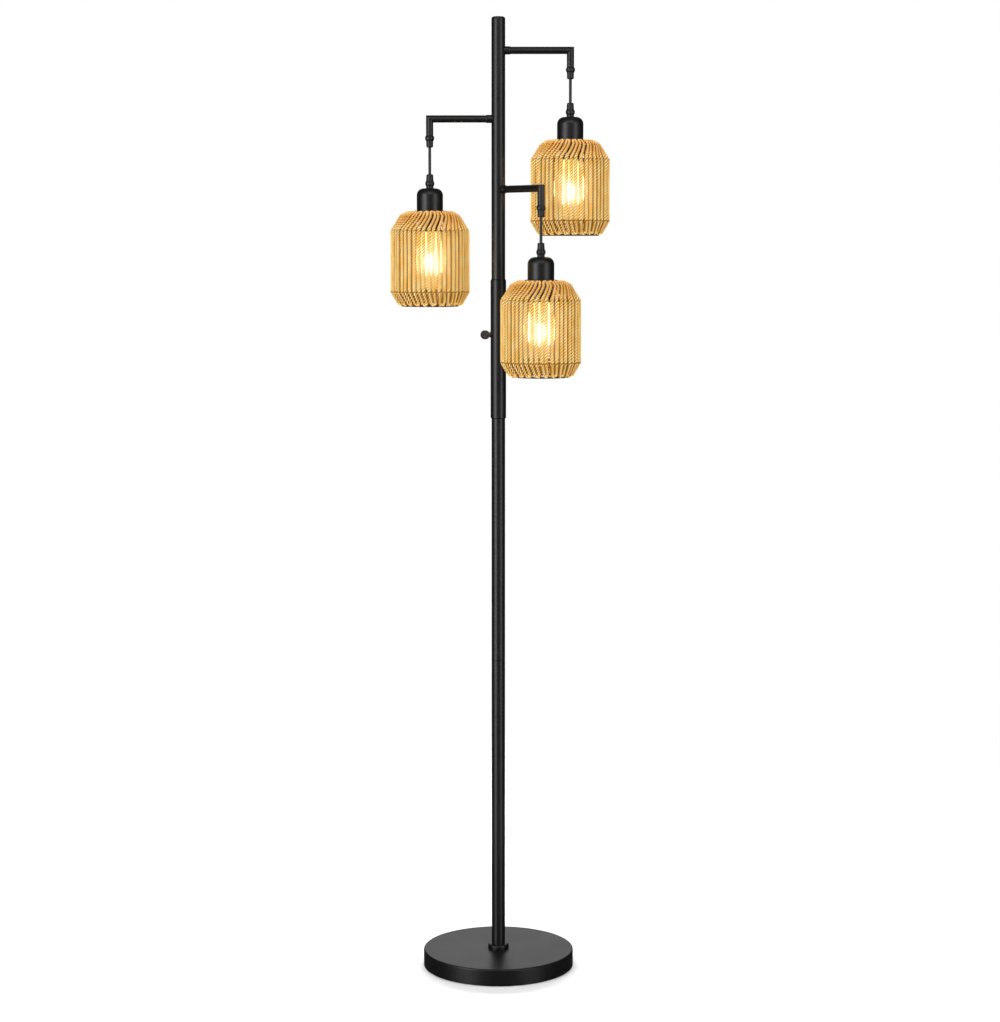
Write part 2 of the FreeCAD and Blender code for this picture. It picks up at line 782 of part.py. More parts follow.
def upper_grip(n):
    """A cord grip screwed into the arm's end. Its mouth flares so that the cord can lean."""
    end = "(arm_drop + grip_length)"
    nose, rounding = "grip_nose / 2", "grip_rounding"
    plug = "arm_diameter / 2 - arm_wall - grip_plug_gap"
    outline = [
        (CORD_BORE, "-(arm_drop - grip_plug_length)"),
        (plug, "-(arm_drop - grip_plug_length)"),
        (plug, "-arm_drop"),
        ("arm_diameter / 2", "-arm_drop"),
        ("grip_bulge / 2", "-(arm_drop + 0.3 * grip_bulge_height)"),
        ("grip_bulge / 2", "-(arm_drop + 0.7 * grip_bulge_height)"),
        ("grip_neck / 2", "-(arm_drop + grip_bulge_height)"),
        (nose, f"-({end} - {rounding})"),
        Arc((f"{nose} - {rounding}", f"-({end} - {rounding})"), (f"{nose} - {rounding}", f"-{end}")),
        (FLARE, f"-{end}"),
        (CORD_BORE, f"-{UPPER_BEND}"),
    ]
    node(under_arm(turned(f"upper_grip_{n}_turned", outline), n), f"upper_cord_grip_{n}")


def hanging_cord(n):
    """The free cord. Each end is rounded about the point that it bends about."""
    bend = LOWER_BEND[n]
    outline = [
        ("0", f"-({UPPER_BEND} - {CORD_RADIUS})"),
        Arc(("0", f"-{UPPER_BEND}"), (CORD_RADIUS, f"-{UPPER_BEND}")),
        (CORD_RADIUS, f"-{bend}"),
        Arc(("0", f"-{bend}"), ("0", f"-({bend} + {CORD_RADIUS})")),
    ]
    node(under_arm(turned(f"cord_{n}_turned", outline), n), f"pendant_cord_{n}")


def lower_grip(n):
    """The cord grip on the cup, with a hollow stub that screws into the lamp holder."""
    nose, rounding, neck = "grip_nose / 2", "grip_rounding", "lower_grip_neck / 2"
    top, base = CORD_BOTTOM[n], CUP_TOP[n]
    outline = [
        (FLARE, f"-{top}"),
        (f"{nose} - {rounding}", f"-{top}"),
        Arc((f"{nose} - {rounding}", f"-({top} + {rounding})"), (nose, f"-({top} + {rounding})")),
        (neck, f"-({base} - lower_grip_neck_height - grip_bulge_height)"),
        ("grip_bulge / 2", f"-({base} - lower_grip_neck_height - 0.7 * grip_bulge_height)"),
        ("grip_bulge / 2", f"-({base} - lower_grip_neck_height - 0.3 * grip_bulge_height)"),
        (neck, f"-({base} - lower_grip_neck_height)"),
        (neck, f"-{base}"),
        ("stub_diameter / 2", f"-{base}"),
        ("stub_diameter / 2", f"-({base} + stub_length)"),
        (CORD_BORE, f"-({base} + stub_length)"),
        (CORD_BORE, f"-{LOWER_BEND[n]}"),
    ]
    node(under_arm(turned(f"lower_grip_{n}_turned", outline), n), f"lower_cord_grip_{n}")


def holder_lead(n):
    """The fixed end of the cord, from the lower grip to the holder's terminals."""
    start = f"({LOWER_BEND[n]} + {CORD_BORE})"
    end = f"({CUP_RIM[n]} - holder_top + holder_entry)"
    lead = cylinder(f"lead_{n}", "wire_diameter / 2", f"{end} - {start}")
    node(under_arm(lead, n, end), f"holder_lead_{n}")


STUB_HOLE = "(stub_diameter / 2 + thread_gap)"


def socket_cup(n):
    radius, shoulder = "cup_diameter / 2", "cup_shoulder"
    centre = (f"{radius} - {shoulder}", f"cup_height - {shoulder}")
    outline = [
        (STUB_HOLE, "cup_height"),
        (f"{radius} - {shoulder}", "cup_height"),
        Arc(centre, (radius, f"cup_height - {shoulder}")),
        (radius, "0"),
        (f"{radius} - cup_wall", "0"),
        (f"{radius} - cup_wall", f"cup_height - {shoulder}"),
        Arc(centre, (f"{radius} - {shoulder}", "cup_height - cup_wall")),
        (STUB_HOLE, "cup_height - cup_wall"),
    ]
    node(under_arm(turned(f"cup_{n}_turned", outline), n, CUP_RIM[n]), f"socket_cup_{n}")


def lamp_holder(n):
    radius, bore = "holder_diameter / 2", "holder_bore / 2"
    floor = "-(holder_drop - holder_bore_depth)"
    outline = [
        (STUB_HOLE, "holder_top"),
        ("holder_neck / 2", "holder_top"),
        ("holder_neck / 2", "holder_shoulder"),
        (radius, "holder_shoulder"),
        (radius, "holder_flange_height"),
        ("holder_flange / 2", "holder_flange_height"),
        ("holder_flange / 2", "0"),
        (radius, "0"),
        (radius, "-holder_drop"),
        (bore, "-holder_drop"),
        (bore, floor),
        ("0", floor),
        ("0", "holder_top - holder_entry"),
        (STUB_HOLE, "holder_top - holder_entry"),
    ]
    node(under_arm(turned(f"holder_{n}_turned", outline), n, CUP_RIM[n]), f"lamp_holder_{n}")


def shade_ring(n):
    """The threaded ring that clamps the shade's plate to the holder."""
    hole = "holder_diameter / 2 + thread_gap"
    top = "-collar_plate_thickness"
    clamp = ring(f"clamp_{n}", "shade_ring_diameter / 2", hole, f"{top} - shade_ring_height", top)
    node(under_arm(clamp, n, CUP_RIM[n]), f"shade_ring_{n}")


def bulb(n):
    cap_end = "(holder_drop + bulb_show)"
    cap, shell = "bulb_cap_diameter / 2", "bulb_cap_diameter / 2 - bulb_cap_wall"
    tip = f"-({cap_end} - bulb_cap_height)"
    cap_outline = [
        ("0", f"{tip} + bulb_contact_height"),
        ("bulb_contact_diameter / 2", f"{tip} + bulb_contact_height"),
        (f"{cap} - 2 * bulb_cap_chamfer", tip),
        (cap, f"{tip} - bulb_cap_chamfer"),
        (cap, f"-{cap_end}"),
        (shell, f"-{cap_end}"),
        (shell, f"{tip} - bulb_cap_head"),
        ("0", f"{tip} - bulb_cap_head"),
    ]
    node(under_arm(turned(f"cap_{n}_turned", cap_outline), n, CUP_RIM[n]), f"bulb_cap_{n}")

    globe, hollow = "bulb_diameter / 2", "(bulb_diameter / 2 - bulb_wall)"
    centre = ("0", "-bulb_centre_drop")
    glass_outline = [
        (f"{cap} + bulb_wall / 2", f"-{cap_end}"),
        (f"0.8 * {globe}", f"0.6 * {globe} - bulb_centre_drop"),
        Arc(centre, ("0", f"-bulb_centre_drop - {globe}")),
        ("0", f"-bulb_centre_drop - {hollow}"),
        Arc(centre, (f"0.8 * {hollow}", f"0.6 * {hollow} - bulb_centre_drop")),
        (f"{cap} - bulb_wall / 2", f"-{cap_end}"),
    ]
    node(under_arm(turned(f"glass_{n}_turned", glass_outline), n, CUP_RIM[n]), f"bulb_glass_{n}")


FRAME_SPOTS = [
    ("spoke_start_radius", "-spoke_start_drop"),
    ("top_ring_radius", "-top_ring_drop"),
    ("side_ring_radius", "-upper_ring_drop"),
    ("side_ring_radius", "-lower_ring_drop"),
    ("rib_end_radius", "-bottom_ring_drop"),
]
BOTTOM_RING = ("bottom_ring_radius", "-bottom_ring_drop")


def shade_frame(n):
    """Four wire rings and a clamping plate, welded to ribs that run from the plate to the bottom."""
    body = new_body(f"frame_{n}")
    rings = new_sketch(body, "XZ_Plane", f"frame_rings_{n}")
    for spot_on_frame in FRAME_SPOTS[1:-1]:
        draw_circle(rings, "ring_wire / 2", spot_on_frame)
    draw_circle(rings, "bottom_ring_wire / 2", BOTTOM_RING)
    hole, rim = "collar_plate_hole / 2", "collar_plate_diameter / 2"
    low = "-collar_plate_thickness"
    draw(rings, [(hole, low), (rim, low), (rim, "0"), (hole, "0")])
    turning = body.newObject("PartDesign::Revolution", f"frame_turning_{n}")
    turning.Profile = rings
    turning.ReferenceAxis = (rings, ["V_Axis"])
    turning.Angle = 360

    route = draw(new_sketch(body, "XZ_Plane", f"rib_route_{n}"), FRAME_SPOTS, closed=False)
    section = new_sketch(body, "YZ_Plane", f"rib_section_{n}")
    draw_circle(section, "rib_wire / 2")
    section.setExpression("AttachmentOffset.Base.y", bound("-spoke_start_drop"))
    section.setExpression("AttachmentOffset.Base.z", bound("spoke_start_radius"))
    slope = "atan2(top_ring_drop - spoke_start_drop; top_ring_radius - spoke_start_radius)"
    tip = f"create(<<rotation>>; create(<<vector>>; 1; 0; 0); {slope})"
    section.setExpression("AttachmentOffset.Rotation", bound(tip))
    document.recompute()
    rib = body.newObject("PartDesign::AdditivePipe", f"rib_{n}")
    rib.Profile = section
    rib.Spine = (route, [f"Edge{edge}" for edge in range(1, len(FRAME_SPOTS))])
    rib.Transition = "Round corner"
    document.recompute()
    ribs = body.newObject("PartDesign::PolarPattern", f"ribs_{n}")
    ribs.Originals = [rib]
    ribs.Axis = (rings, ["V_Axis"])
    ribs.Angle = 360
    ribs.setExpression("Occurrences", bound("rib_count"))
    body.Tip = ribs
    node(under_arm(body, n, CUP_RIM[n]), f"shade_frame_{n}")


# Rope of the shade: one unbroken run of cord that goes down and up over the frame's rings


def polar(radius, azimuth, height):
    turn = math.radians(azimuth)
    return FreeCAD.Vector(radius * math.cos(turn), radius * math.sin(turn), height)


def rope_profile():
    """Where a rope lies on the frame: its start, a corner over each ring, and its lower end."""
    away = value("ring_wire / 2 + rope_gap + rope_diameter / 2")
    spots = [spot(pair) for pair in FRAME_SPOTS]
    normals = []
    for near, far in zip(spots, spots[1:]):
        along = (far - near).normalize()
        normals.append(FreeCAD.Vector(-along.y, along.x, 0))
    corners = [
        centre + (before + after) * (away / (1 + before.dot(after)))
        for centre, before, after in zip(spots[1:], normals, normals[1:])
    ]
    first_line = (spots[1] - spots[0]).normalize()
    last_line = (spots[-1] - spots[-2]).normalize()
    inward = (corners[0].x - value("rope_inner_radius")) / first_line.x
    end = spots[-1] + normals[-1] * away - last_line * value("rope_stop")
    return [corners[0] - first_line * inward, *corners, end]


def rounded_corner(before, corner, after, radius):
    """The start, middle and end of an arc that rounds a corner between two straight runs."""
    back, on = (before - corner).normalize(), (after - corner).normalize()
    half = math.acos(back.dot(on)) / 2
    centre = corner + (back + on).normalize() * (radius / math.sin(half))
    middle = centre + (corner - centre).normalize() * radius
    return corner + back * (radius / math.tan(half)), middle, corner + on * (radius / math.tan(half))


def arc_middle(start, corner, end):
    """A point halfway along the arc that touches both legs of a corner with equal legs."""
    half = (start - corner).getAngle(end - corner) / 2
    weight = math.sin(half)
    return (start + corner * (2 * weight) + end) * (1 / (2 + 2 * weight))


def return_bend(start, heading, end, arrival):
    """Two arcs that turn the rope back from one run to the next."""
    across, both = end - start, heading + arrival
    spread = 2 * (1 - heading.dot(arrival))
    leg = (math.sqrt(across.dot(both) ** 2 + spread * across.dot(across)) - across.dot(both)) / spread
    first, last = start + heading * leg, end - arrival * leg
    middle = (first + last) * 0.5
    return [
        Part.Arc(start, arc_middle(start, first, middle), middle).toShape(),
        Part.Arc(middle, arc_middle(middle, last, end), end).toShape(),
    ]


def rope_run(number, profile):
    """The corners of one run, which leans over the upper and lower slopes."""
    pitch = 360 / (2 * value("loop_count"))
    top, bottom = value("top_lean"), value("bottom_lean")
    leans = (top, top, 0, 0, bottom)
    run = [polar(p.x, number * pitch + lean, p.y) for p, lean in zip(profile, leans)]
    return run if number % 2 == 0 else run[::-1]


def rope_path():
    profile = rope_profile()
    radius = value("ring_wire / 2 + rope_gap + rope_diameter / 2")
    edges = []
    last_end = last_heading = None
    for number in range(round(2 * value("loop_count"))):
        run = rope_run(number, profile)
        here = run[0]
        if edges:
            edges += return_bend(last_end, last_heading, here, (run[1] - here).normalize())
        for before, corner, after in zip(run, run[1:], run[2:]):
            start, middle, end = rounded_corner(before, corner, after, radius)
            edges.append(Part.LineSegment(here, start).toShape())
            edges.append(Part.Arc(start, middle, end).toShape())
            here = end
        edges.append(Part.LineSegment(here, run[-1]).toShape())
        last_end, last_heading = run[-1], (run[-1] - run[-2]).normalize()
    return edges


def least_gap(edges, step, diameter):
    """The least gap between two stretches of rope that aren't next to each other along it.

    The gap is measured between points, and a return bend's own two legs are a stretch apart.
    """
    apart = 2.2 * diameter
    places, along = [], 0.0
    for edge in edges:
        count = max(2, round(edge.Length / step))
        for point in edge.discretize(count + 1)[:-1]:
            places.append((along, point))
            along += edge.Length / count
    cell = 2 * diameter
    cells = {}
    for index, (_, point) in enumerate(places):
        cells.setdefault(tuple(math.floor(c / cell) for c in point), []).append(index)
    least = cell
    for (i, j, k), members in cells.items():
        near = [
            index
            for di in (-1, 0, 1)
            for dj in (-1, 0, 1)
            for dk in (-1, 0, 1)
            for index in cells.get((i + di, j + dj, k + dk), ())
        ]
        for one in members:
            for other in near:
                if places[other][0] - places[one][0] > apart:
                    least = min(least, places[one][1].distanceToPoint(places[other][1]))
    return least - diameter


ROPE_SIDES = 8
GAP_STEP = 1.5  # millimetres along the rope between the points its gap is measured on


def rope_tube():
    """The rope with a faceted section, as a pipe along its path."""
    edges = rope_path()
    diameter = value("rope_diameter")
    start = edges[0].Vertexes[0].Point
    heading = (edges[0].Vertexes[1].Point - start).normalize()
    side = FreeCAD.Vector(0, 0, 1).cross(heading).normalize() * (diameter / 2)
    corners = [
        start + FreeCAD.Rotation(heading, 360 * corner / ROPE_SIDES).multVec(side)
        for corner in range(ROPE_SIDES + 1)
    ]
    section = Part.makePolygon(corners)
    path = Part.Wire(edges)
    tube = path.makePipeShell([section], True, False)
    area = Part.Face(section).Area
    print(f"rope: {path.Length:.0f} mm, {len(edges)} edges")
    print(f"rope: least gap to itself {least_gap(edges, GAP_STEP, diameter):.3f} mm")
    print(f"rope: volume {tube.Volume:.0f}, section times length {area * path.Length:.0f}")
    return tube


def shade_rope(n, tube):
    rope = document.addObject("Part::Feature", f"rope_{n}")
    rope.Shape = tube.copy()
    node(under_arm(rope, n, CUP_RIM[n]), f"shade_rope_{n}")


def hanging_lamp(n, tube):
    upper_grip(n)
    hanging_cord(n)
    lower_grip(n)
    holder_lead(n)
    socket_cup(n)
    lamp_holder(n)
    shade_ring(n)
    shade_frame(n)
    shade_rope(n, tube)
    bulb(n)


def check_document():
    document.recompute()
    for thing in document.Objects:
        faults = {"Invalid", "Error"} & set(thing.State)
        if faults:
            raise RuntimeError(f"{thing.Name} is {faults}")
    for name, thing in nodes.items():
        if thing.Shape.isNull() or not thing.Shape.isValid():
            raise RuntimeError(f"{name} has no valid shape")
        if not thing.Shape.Solids:
            raise RuntimeError(f"{name} has no solid")


def write_parts():
    os.makedirs("parts", exist_ok=True)
    for name, thing in nodes.items():
        thing.Shape.exportStep(f"parts/{name}.step")
    print(f"{len(nodes)} parts")


def build():
    fill_sheet()
    base_cover()
    base_inside()
    base_fixings()
    cord_grommet()
    pole()
    pole_joints()
    switch_sleeve()
    pole_cap()
    switch()
    switch_knob()
    wires()
    tube = rope_tube()
    for n in ARMS:
        arm(n)
        arm_ferrule(n)
        hanging_lamp(n, tube)
    check_document()
    write_parts()


build()
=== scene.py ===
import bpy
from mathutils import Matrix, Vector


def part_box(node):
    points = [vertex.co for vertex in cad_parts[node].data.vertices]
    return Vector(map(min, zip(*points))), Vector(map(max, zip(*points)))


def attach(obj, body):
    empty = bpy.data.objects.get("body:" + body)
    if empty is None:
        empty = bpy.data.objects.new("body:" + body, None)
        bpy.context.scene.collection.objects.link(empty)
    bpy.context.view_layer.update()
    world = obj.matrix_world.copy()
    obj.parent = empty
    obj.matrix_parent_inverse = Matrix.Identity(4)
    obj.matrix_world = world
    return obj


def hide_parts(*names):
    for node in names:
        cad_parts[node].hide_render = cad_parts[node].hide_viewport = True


bl_info = {
    "name": "Tree Floor Lamp",
    "version": (1, 0, 0),
    "blender": (4, 5, 0),
    "location": "3D View > Sidebar > Lamp",
    "description": "Finishes, shade ropes, hanging cords, lit bulbs and stage of a tree floor lamp",
    "category": "Object",
}

import math
import random

import bpy
from bpy.props import FloatProperty, FloatVectorProperty, IntProperty, PointerProperty
from bpy.types import Operator, Panel, PropertyGroup
from mathutils import Vector

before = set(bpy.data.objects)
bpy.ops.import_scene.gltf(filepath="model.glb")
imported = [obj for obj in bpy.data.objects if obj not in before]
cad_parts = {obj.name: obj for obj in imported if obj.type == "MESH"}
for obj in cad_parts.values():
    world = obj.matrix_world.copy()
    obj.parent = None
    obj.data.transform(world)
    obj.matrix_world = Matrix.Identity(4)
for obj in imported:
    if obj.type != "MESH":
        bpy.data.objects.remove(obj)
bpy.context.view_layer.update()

MM = 0.001
LAMPS = (1, 2, 3)

# Camera that frames the lamp as the photograph does: place, degrees it looks down, and lens
CAMERA_PLACE = (0.0029, -4.145, 1.2884)
CAMERA_DOWN = 6.4506
CAMERA_LENS = 83.43

# One run of rope over the frame, from the top ring to the bottom one: its distance from the lamp's
# axis and height over the socket cup's rim, in millimetres, and the degrees that it leans round.
ROPE_RUN = [
    (38.4, -3.1, 12.0),
    (42.0, -4.9, 12.0),
    (47.5, -7.6, 12.0),
    (50.4, -9.1, 11.8),
    (52.6, -12.7, 10.6),
    (57.8, -21.2, 6.0),
    (63.4, -30.4, 1.0),
    (65.5, -33.8, 0.0),
    (65.5, -38.9, 0.0),
    (65.3, -87.0, 0.0),
    (65.5, -134.9, 0.0),
    (65.5, -139.8, 0.0),
    (63.0, -143.9, 0.9),
    (59.2, -150.4, 2.3),
    (55.8, -156.1, 3.6),
    (53.3, -160.3, 3.75),
]
MIDDLE_OF_WALL = 9  # the row of the run that lies halfway down
STRAY_OUT, STRAY_UP = 0.15, 0.3  # how far a point of the run strays, in millimetres

# Heights over the cup's rim between which the rope's painted shade and painted glow change, in
# metres
HOLDER_SHADE = (-48 * MM, -14 * MM)
PAINTED_TOP_SHADE = (-36 * MM, -16 * MM)
UNDER_WALL = (-139 * MM, -145 * MM)

# Where the rope bends over a ring of the frame, and how far to each side of it its painted shade
# reaches
HIGH_RING, HIGH_RING_SHADE = -34.5 * MM, 0.9 * MM
LOW_RING, LOW_RING_SHADE = -140 * MM, 1.2 * MM

# Where the rope starts to be squeezed thinner or flattened, and the height over which it comes in
CROWDED_FROM, CROWDED_OVER = -37 * MM, 12 * MM
FLAT_BELOW, FLAT_OVER = -133 * MM, 8 * MM

CORD_CLEARANCE = 0.5 * MM  # how far a hanging cord stops short inside each grip

# A lit filament strip's section by height over the cup's rim, in millimetres: level and radius
FILAMENT = [
    (-75.0, 0.4),
    (-76.0, 1.4),
    (-83.0, 1.8),
    (-90.0, 1.9),
    (-97.0, 1.8),
    (-104.0, 1.4),
    (-105.0, 0.4),
]
STRIPS = 6
STRIP_SIDES = 8
STRIP_RING = 3.6  # bulb's axis to a strip's ends, in millimetres
STRIP_BOW = 1.5  # how much further out its middle is


# Colours, nodes and pieces


def hex_colour(text):
    """An sRGB hex colour as the linear colour that Blender works in."""
    parts = [int(text[i : i + 2], 16) / 255 for i in (1, 3, 5)]
    return tuple(c / 12.92 if c <= 0.04045 else ((c + 0.055) / 1.055) ** 2.4 for c in parts)


def rgba(colour):
    return (*colour, 1.0)


def add(tree, kind, inputs=None, out=0, **settings):
    """Adds a node and returns one of its outputs.

    inputs pairs a socket's name or number with a value, or with another node's output.
    """
    made = tree.nodes.new(kind)
    for name, setting in settings.items():
        setattr(made, name, setting)
    for socket, given in (inputs or {}).items():
        if isinstance(given, bpy.types.NodeSocket):
            tree.links.new(given, made.inputs[socket])
        else:
            made.inputs[socket].default_value = given
    return made.outputs[out] if made.outputs else None


def new_material(name):
    material = bpy.data.materials.new(name)
    material.use_nodes = True
    material.node_tree.nodes.clear()
    return material


def new_object(name, data):
    made = bpy.data.objects.new(name, data)
    bpy.context.scene.collection.objects.link(made)
    return made


def dress(material, *names):
    """Gives carried-over pieces their finish."""
    for name in names:
        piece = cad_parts[name]
        for held in piece.material_slots:
            held.material = material
        if not piece.material_slots:
            piece.data.materials.append(material)


def each_lamp(*names):
    return [f"{name}_{n}" for name in names for n in LAMPS]


def lamp_centre(n):
    """Where a lamp's axis meets the level of its socket cup's rim."""
    low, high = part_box(f"socket_cup_{n}")
    return Vector(((low.x + high.x) / 2, (low.y + high.y) / 2, low.z))


# Finishes


def grain(tree, size, stretch=(1, 1, 1), detail=3.0):
    """Noise whose grains are about size across, in millimetres, and stretched along the axes."""
    place = add(tree, "ShaderNodeTexCoord", out="Object")
    fitted = add(tree, "ShaderNodeMapping", {"Vector": place, "Scale": stretch})
    noise = {"Vector": fitted, "Scale": 1 / (size * MM), "Detail": detail}
    return add(tree, "ShaderNodeTexNoise", noise, out="Fac")


def finish(name, pattern, colours, rough=None, relief=None, finer=None, glow=None, **shader):
    """A material that varies over one pattern of grains, given as what grain() takes.

    Its colour runs between two hex values, and so does its glow. Its roughness runs between two
    numbers. relief is the depth of its bumps, in millimetres, and their strength. finer is their
    width, where they are finer than the grains. Other sockets take plain values.
    """
    material = new_material(name)
    tree = material.node_tree
    noise = grain(tree, **pattern)
    inputs = {socket.replace("_", " "): given for socket, given in shader.items()}
    share = add(tree, "ShaderNodeMapRange", {"Value": noise, "From Min": 0.3, "From Max": 0.7})
    for socket, pair in (("Base Color", colours), ("Emission Color", glow)):
        if pair:
            first, second = (rgba(hex_colour(text)) for text in pair)
            blend = {"Factor": share, 6: first, 7: second}
            inputs[socket] = add(tree, "ShaderNodeMix", blend, out=2, data_type="RGBA")
    if rough:
        spread = {"Value": noise, "To Min": rough[0], "To Max": rough[1]}
        inputs["Roughness"] = add(tree, "ShaderNodeMapRange", spread)
    if relief:
        height = grain(tree, finer) if finer else noise
        bumps = {"Height": height, "Distance": relief[0] * MM, "Strength": relief[1]}
        inputs["Normal"] = add(tree, "ShaderNodeBump", bumps)
    body = add(tree, "ShaderNodeBsdfPrincipled", inputs)
    add(tree, "ShaderNodeOutputMaterial", {"Surface": body})
    return material


def powder_coated_steel():
    """Steel, powder-coated in satin black: a fine orange peel softens what it reflects.

    Its real peel, under half a millimetre across, is too fine to show, so it is drawn coarser.
    """
    return finish(
        "powder_coated_steel",
        {"size": 60},
        ("#0a0a0b", "#0f0f10"),
        rough=(0.36, 0.44),
        relief=(0.05, 0.2),
        finer=1.4,
        IOR=1.5,
    )


def moulded_nylon():
    """Nylon, moulded in black with a fine eroded texture: its highlights are broad and dull."""
    return finish(
        "moulded_nylon",
        {"size": 12},
        ("#0b0b0c", "#111112"),
        rough=(0.38, 0.5),
        relief=(0.06, 0.3),
        finer=0.8,
        IOR=1.53,
    )


def matt_knob_plastic():
    """Charcoal plastic, moulded matt for the fingers: it scatters more light than the paint."""
    return finish(
        "matt_knob_plastic",
        {"size": 4},
        ("#333334", "#48484a"),
        rough=(0.6, 0.75),
        relief=(0.05, 0.3),
        IOR=1.5,
        Specular_IOR_Level=0.2,
    )


def polished_phenolic():
    """Phenolic, pressed in a polished mould: black and glossier than the paint round it."""
    return finish(
        "polished_phenolic",
        {"size": 9},
        ("#0f0f10", "#161617"),
        rough=(0.2, 0.3),
        relief=(0.03, 0.2),
        IOR=1.6,
    )


def cast_iron():
    """Grey iron, sand cast: a coarse skin with darker pits."""
    return finish(
        "sand_cast_iron",
        {"size": 1.2, "detail": 6.0},
        ("#2b2a29", "#4a4846"),
        rough=(0.6, 0.85),
        relief=(0.4, 0.6),
        Metallic=0.7,
    )


def zinc_plate():
    """Steel, plated with bright zinc: pale blue-grey, with turning marks round it."""
    return finish(
        "zinc_plated_steel",
        {"size": 1.5, "stretch": (0.3, 0.3, 3)},
        ("#a9aeb2", "#c4c8ca"),
        rough=(0.22, 0.4),
        relief=(0.04, 0.3),
        Metallic=1.0,
    )


def drawn_aluminium():
    """Aluminium, drawn into a bulb's screw cap: bright, with fine rings left by the tool."""
    return finish(
        "drawn_aluminium",
        {"size": 1.1, "stretch": (0.2, 0.2, 4)},
        ("#c9c9c6", "#dddcd8"),
        rough=(0.25, 0.38),
        relief=(0.05, 0.3),
        Metallic=1.0,
    )


def foam_sheet():
    """EVA foam, sliced to a sheet: dull, with open cells on the cut."""
    return finish(
        "eva_foam_sheet",
        {"size": 1.0, "detail": 5.0},
        ("#161616", "#262626"),
        rough=(0.85, 0.95),
        relief=(0.3, 0.5),
    )


def cord_jacket():
    """PVC, drawn over the flex as a brown-black jacket: waxy, with faint drawing lines along it."""
    return finish(
        "pvc_cord_jacket",
        {"size": 0.9, "stretch": (1, 1, 0.05)},
        ("#14110f", "#221d19"),
        rough=(0.35, 0.5),
        relief=(0.06, 0.3),
        IOR=1.53,
    )


def wire_insulation():
    """PVC insulation on single wires, dark grey and smooth."""
    return finish(
        "pvc_wire_insulation",
        {"size": 2, "stretch": (1, 1, 0.1)},
        ("#1e1e1f", "#2a2a2c"),
        rough=(0.35, 0.45),
        IOR=1.53,
    )


def frame_wire():
    """Steel wire, painted brown before winding: it shows dark where the rope bends over it."""
    return finish(
        "painted_frame_wire",
        {"size": 3},
        ("#3a2c14", "#54401c"),
        rough=(0.45, 0.65),
        relief=(0.1, 0.3),
        IOR=1.5,
    )


def blown_glass():
    """Soda-lime glass, blown thin into a bulb and lit from inside: clear, with a warm haze."""
    return finish(
        "blown_bulb_glass",
        {"size": 8},
        ("#ffe3b0", "#fff0d2"),
        rough=(0.08, 0.14),
        IOR=1.5,
        Alpha=0.3,
        Emission_Color=rgba(hex_colour("#ffd67e")),
        Emission_Strength=1.1,
    )


def glowing_filament(strength):
    """Phosphor-coated filament strips at work: they show nothing but their own warm white."""
    return finish(
        "glowing_filament",
        {"size": 1.5, "stretch": (1, 1, 0.4)},
        ("#ffd98a", "#ffe9b8"),
        glow=("#ffe2a4", "#fff3d2"),
        Roughness=0.5,
        Emission_Strength=strength,
    )


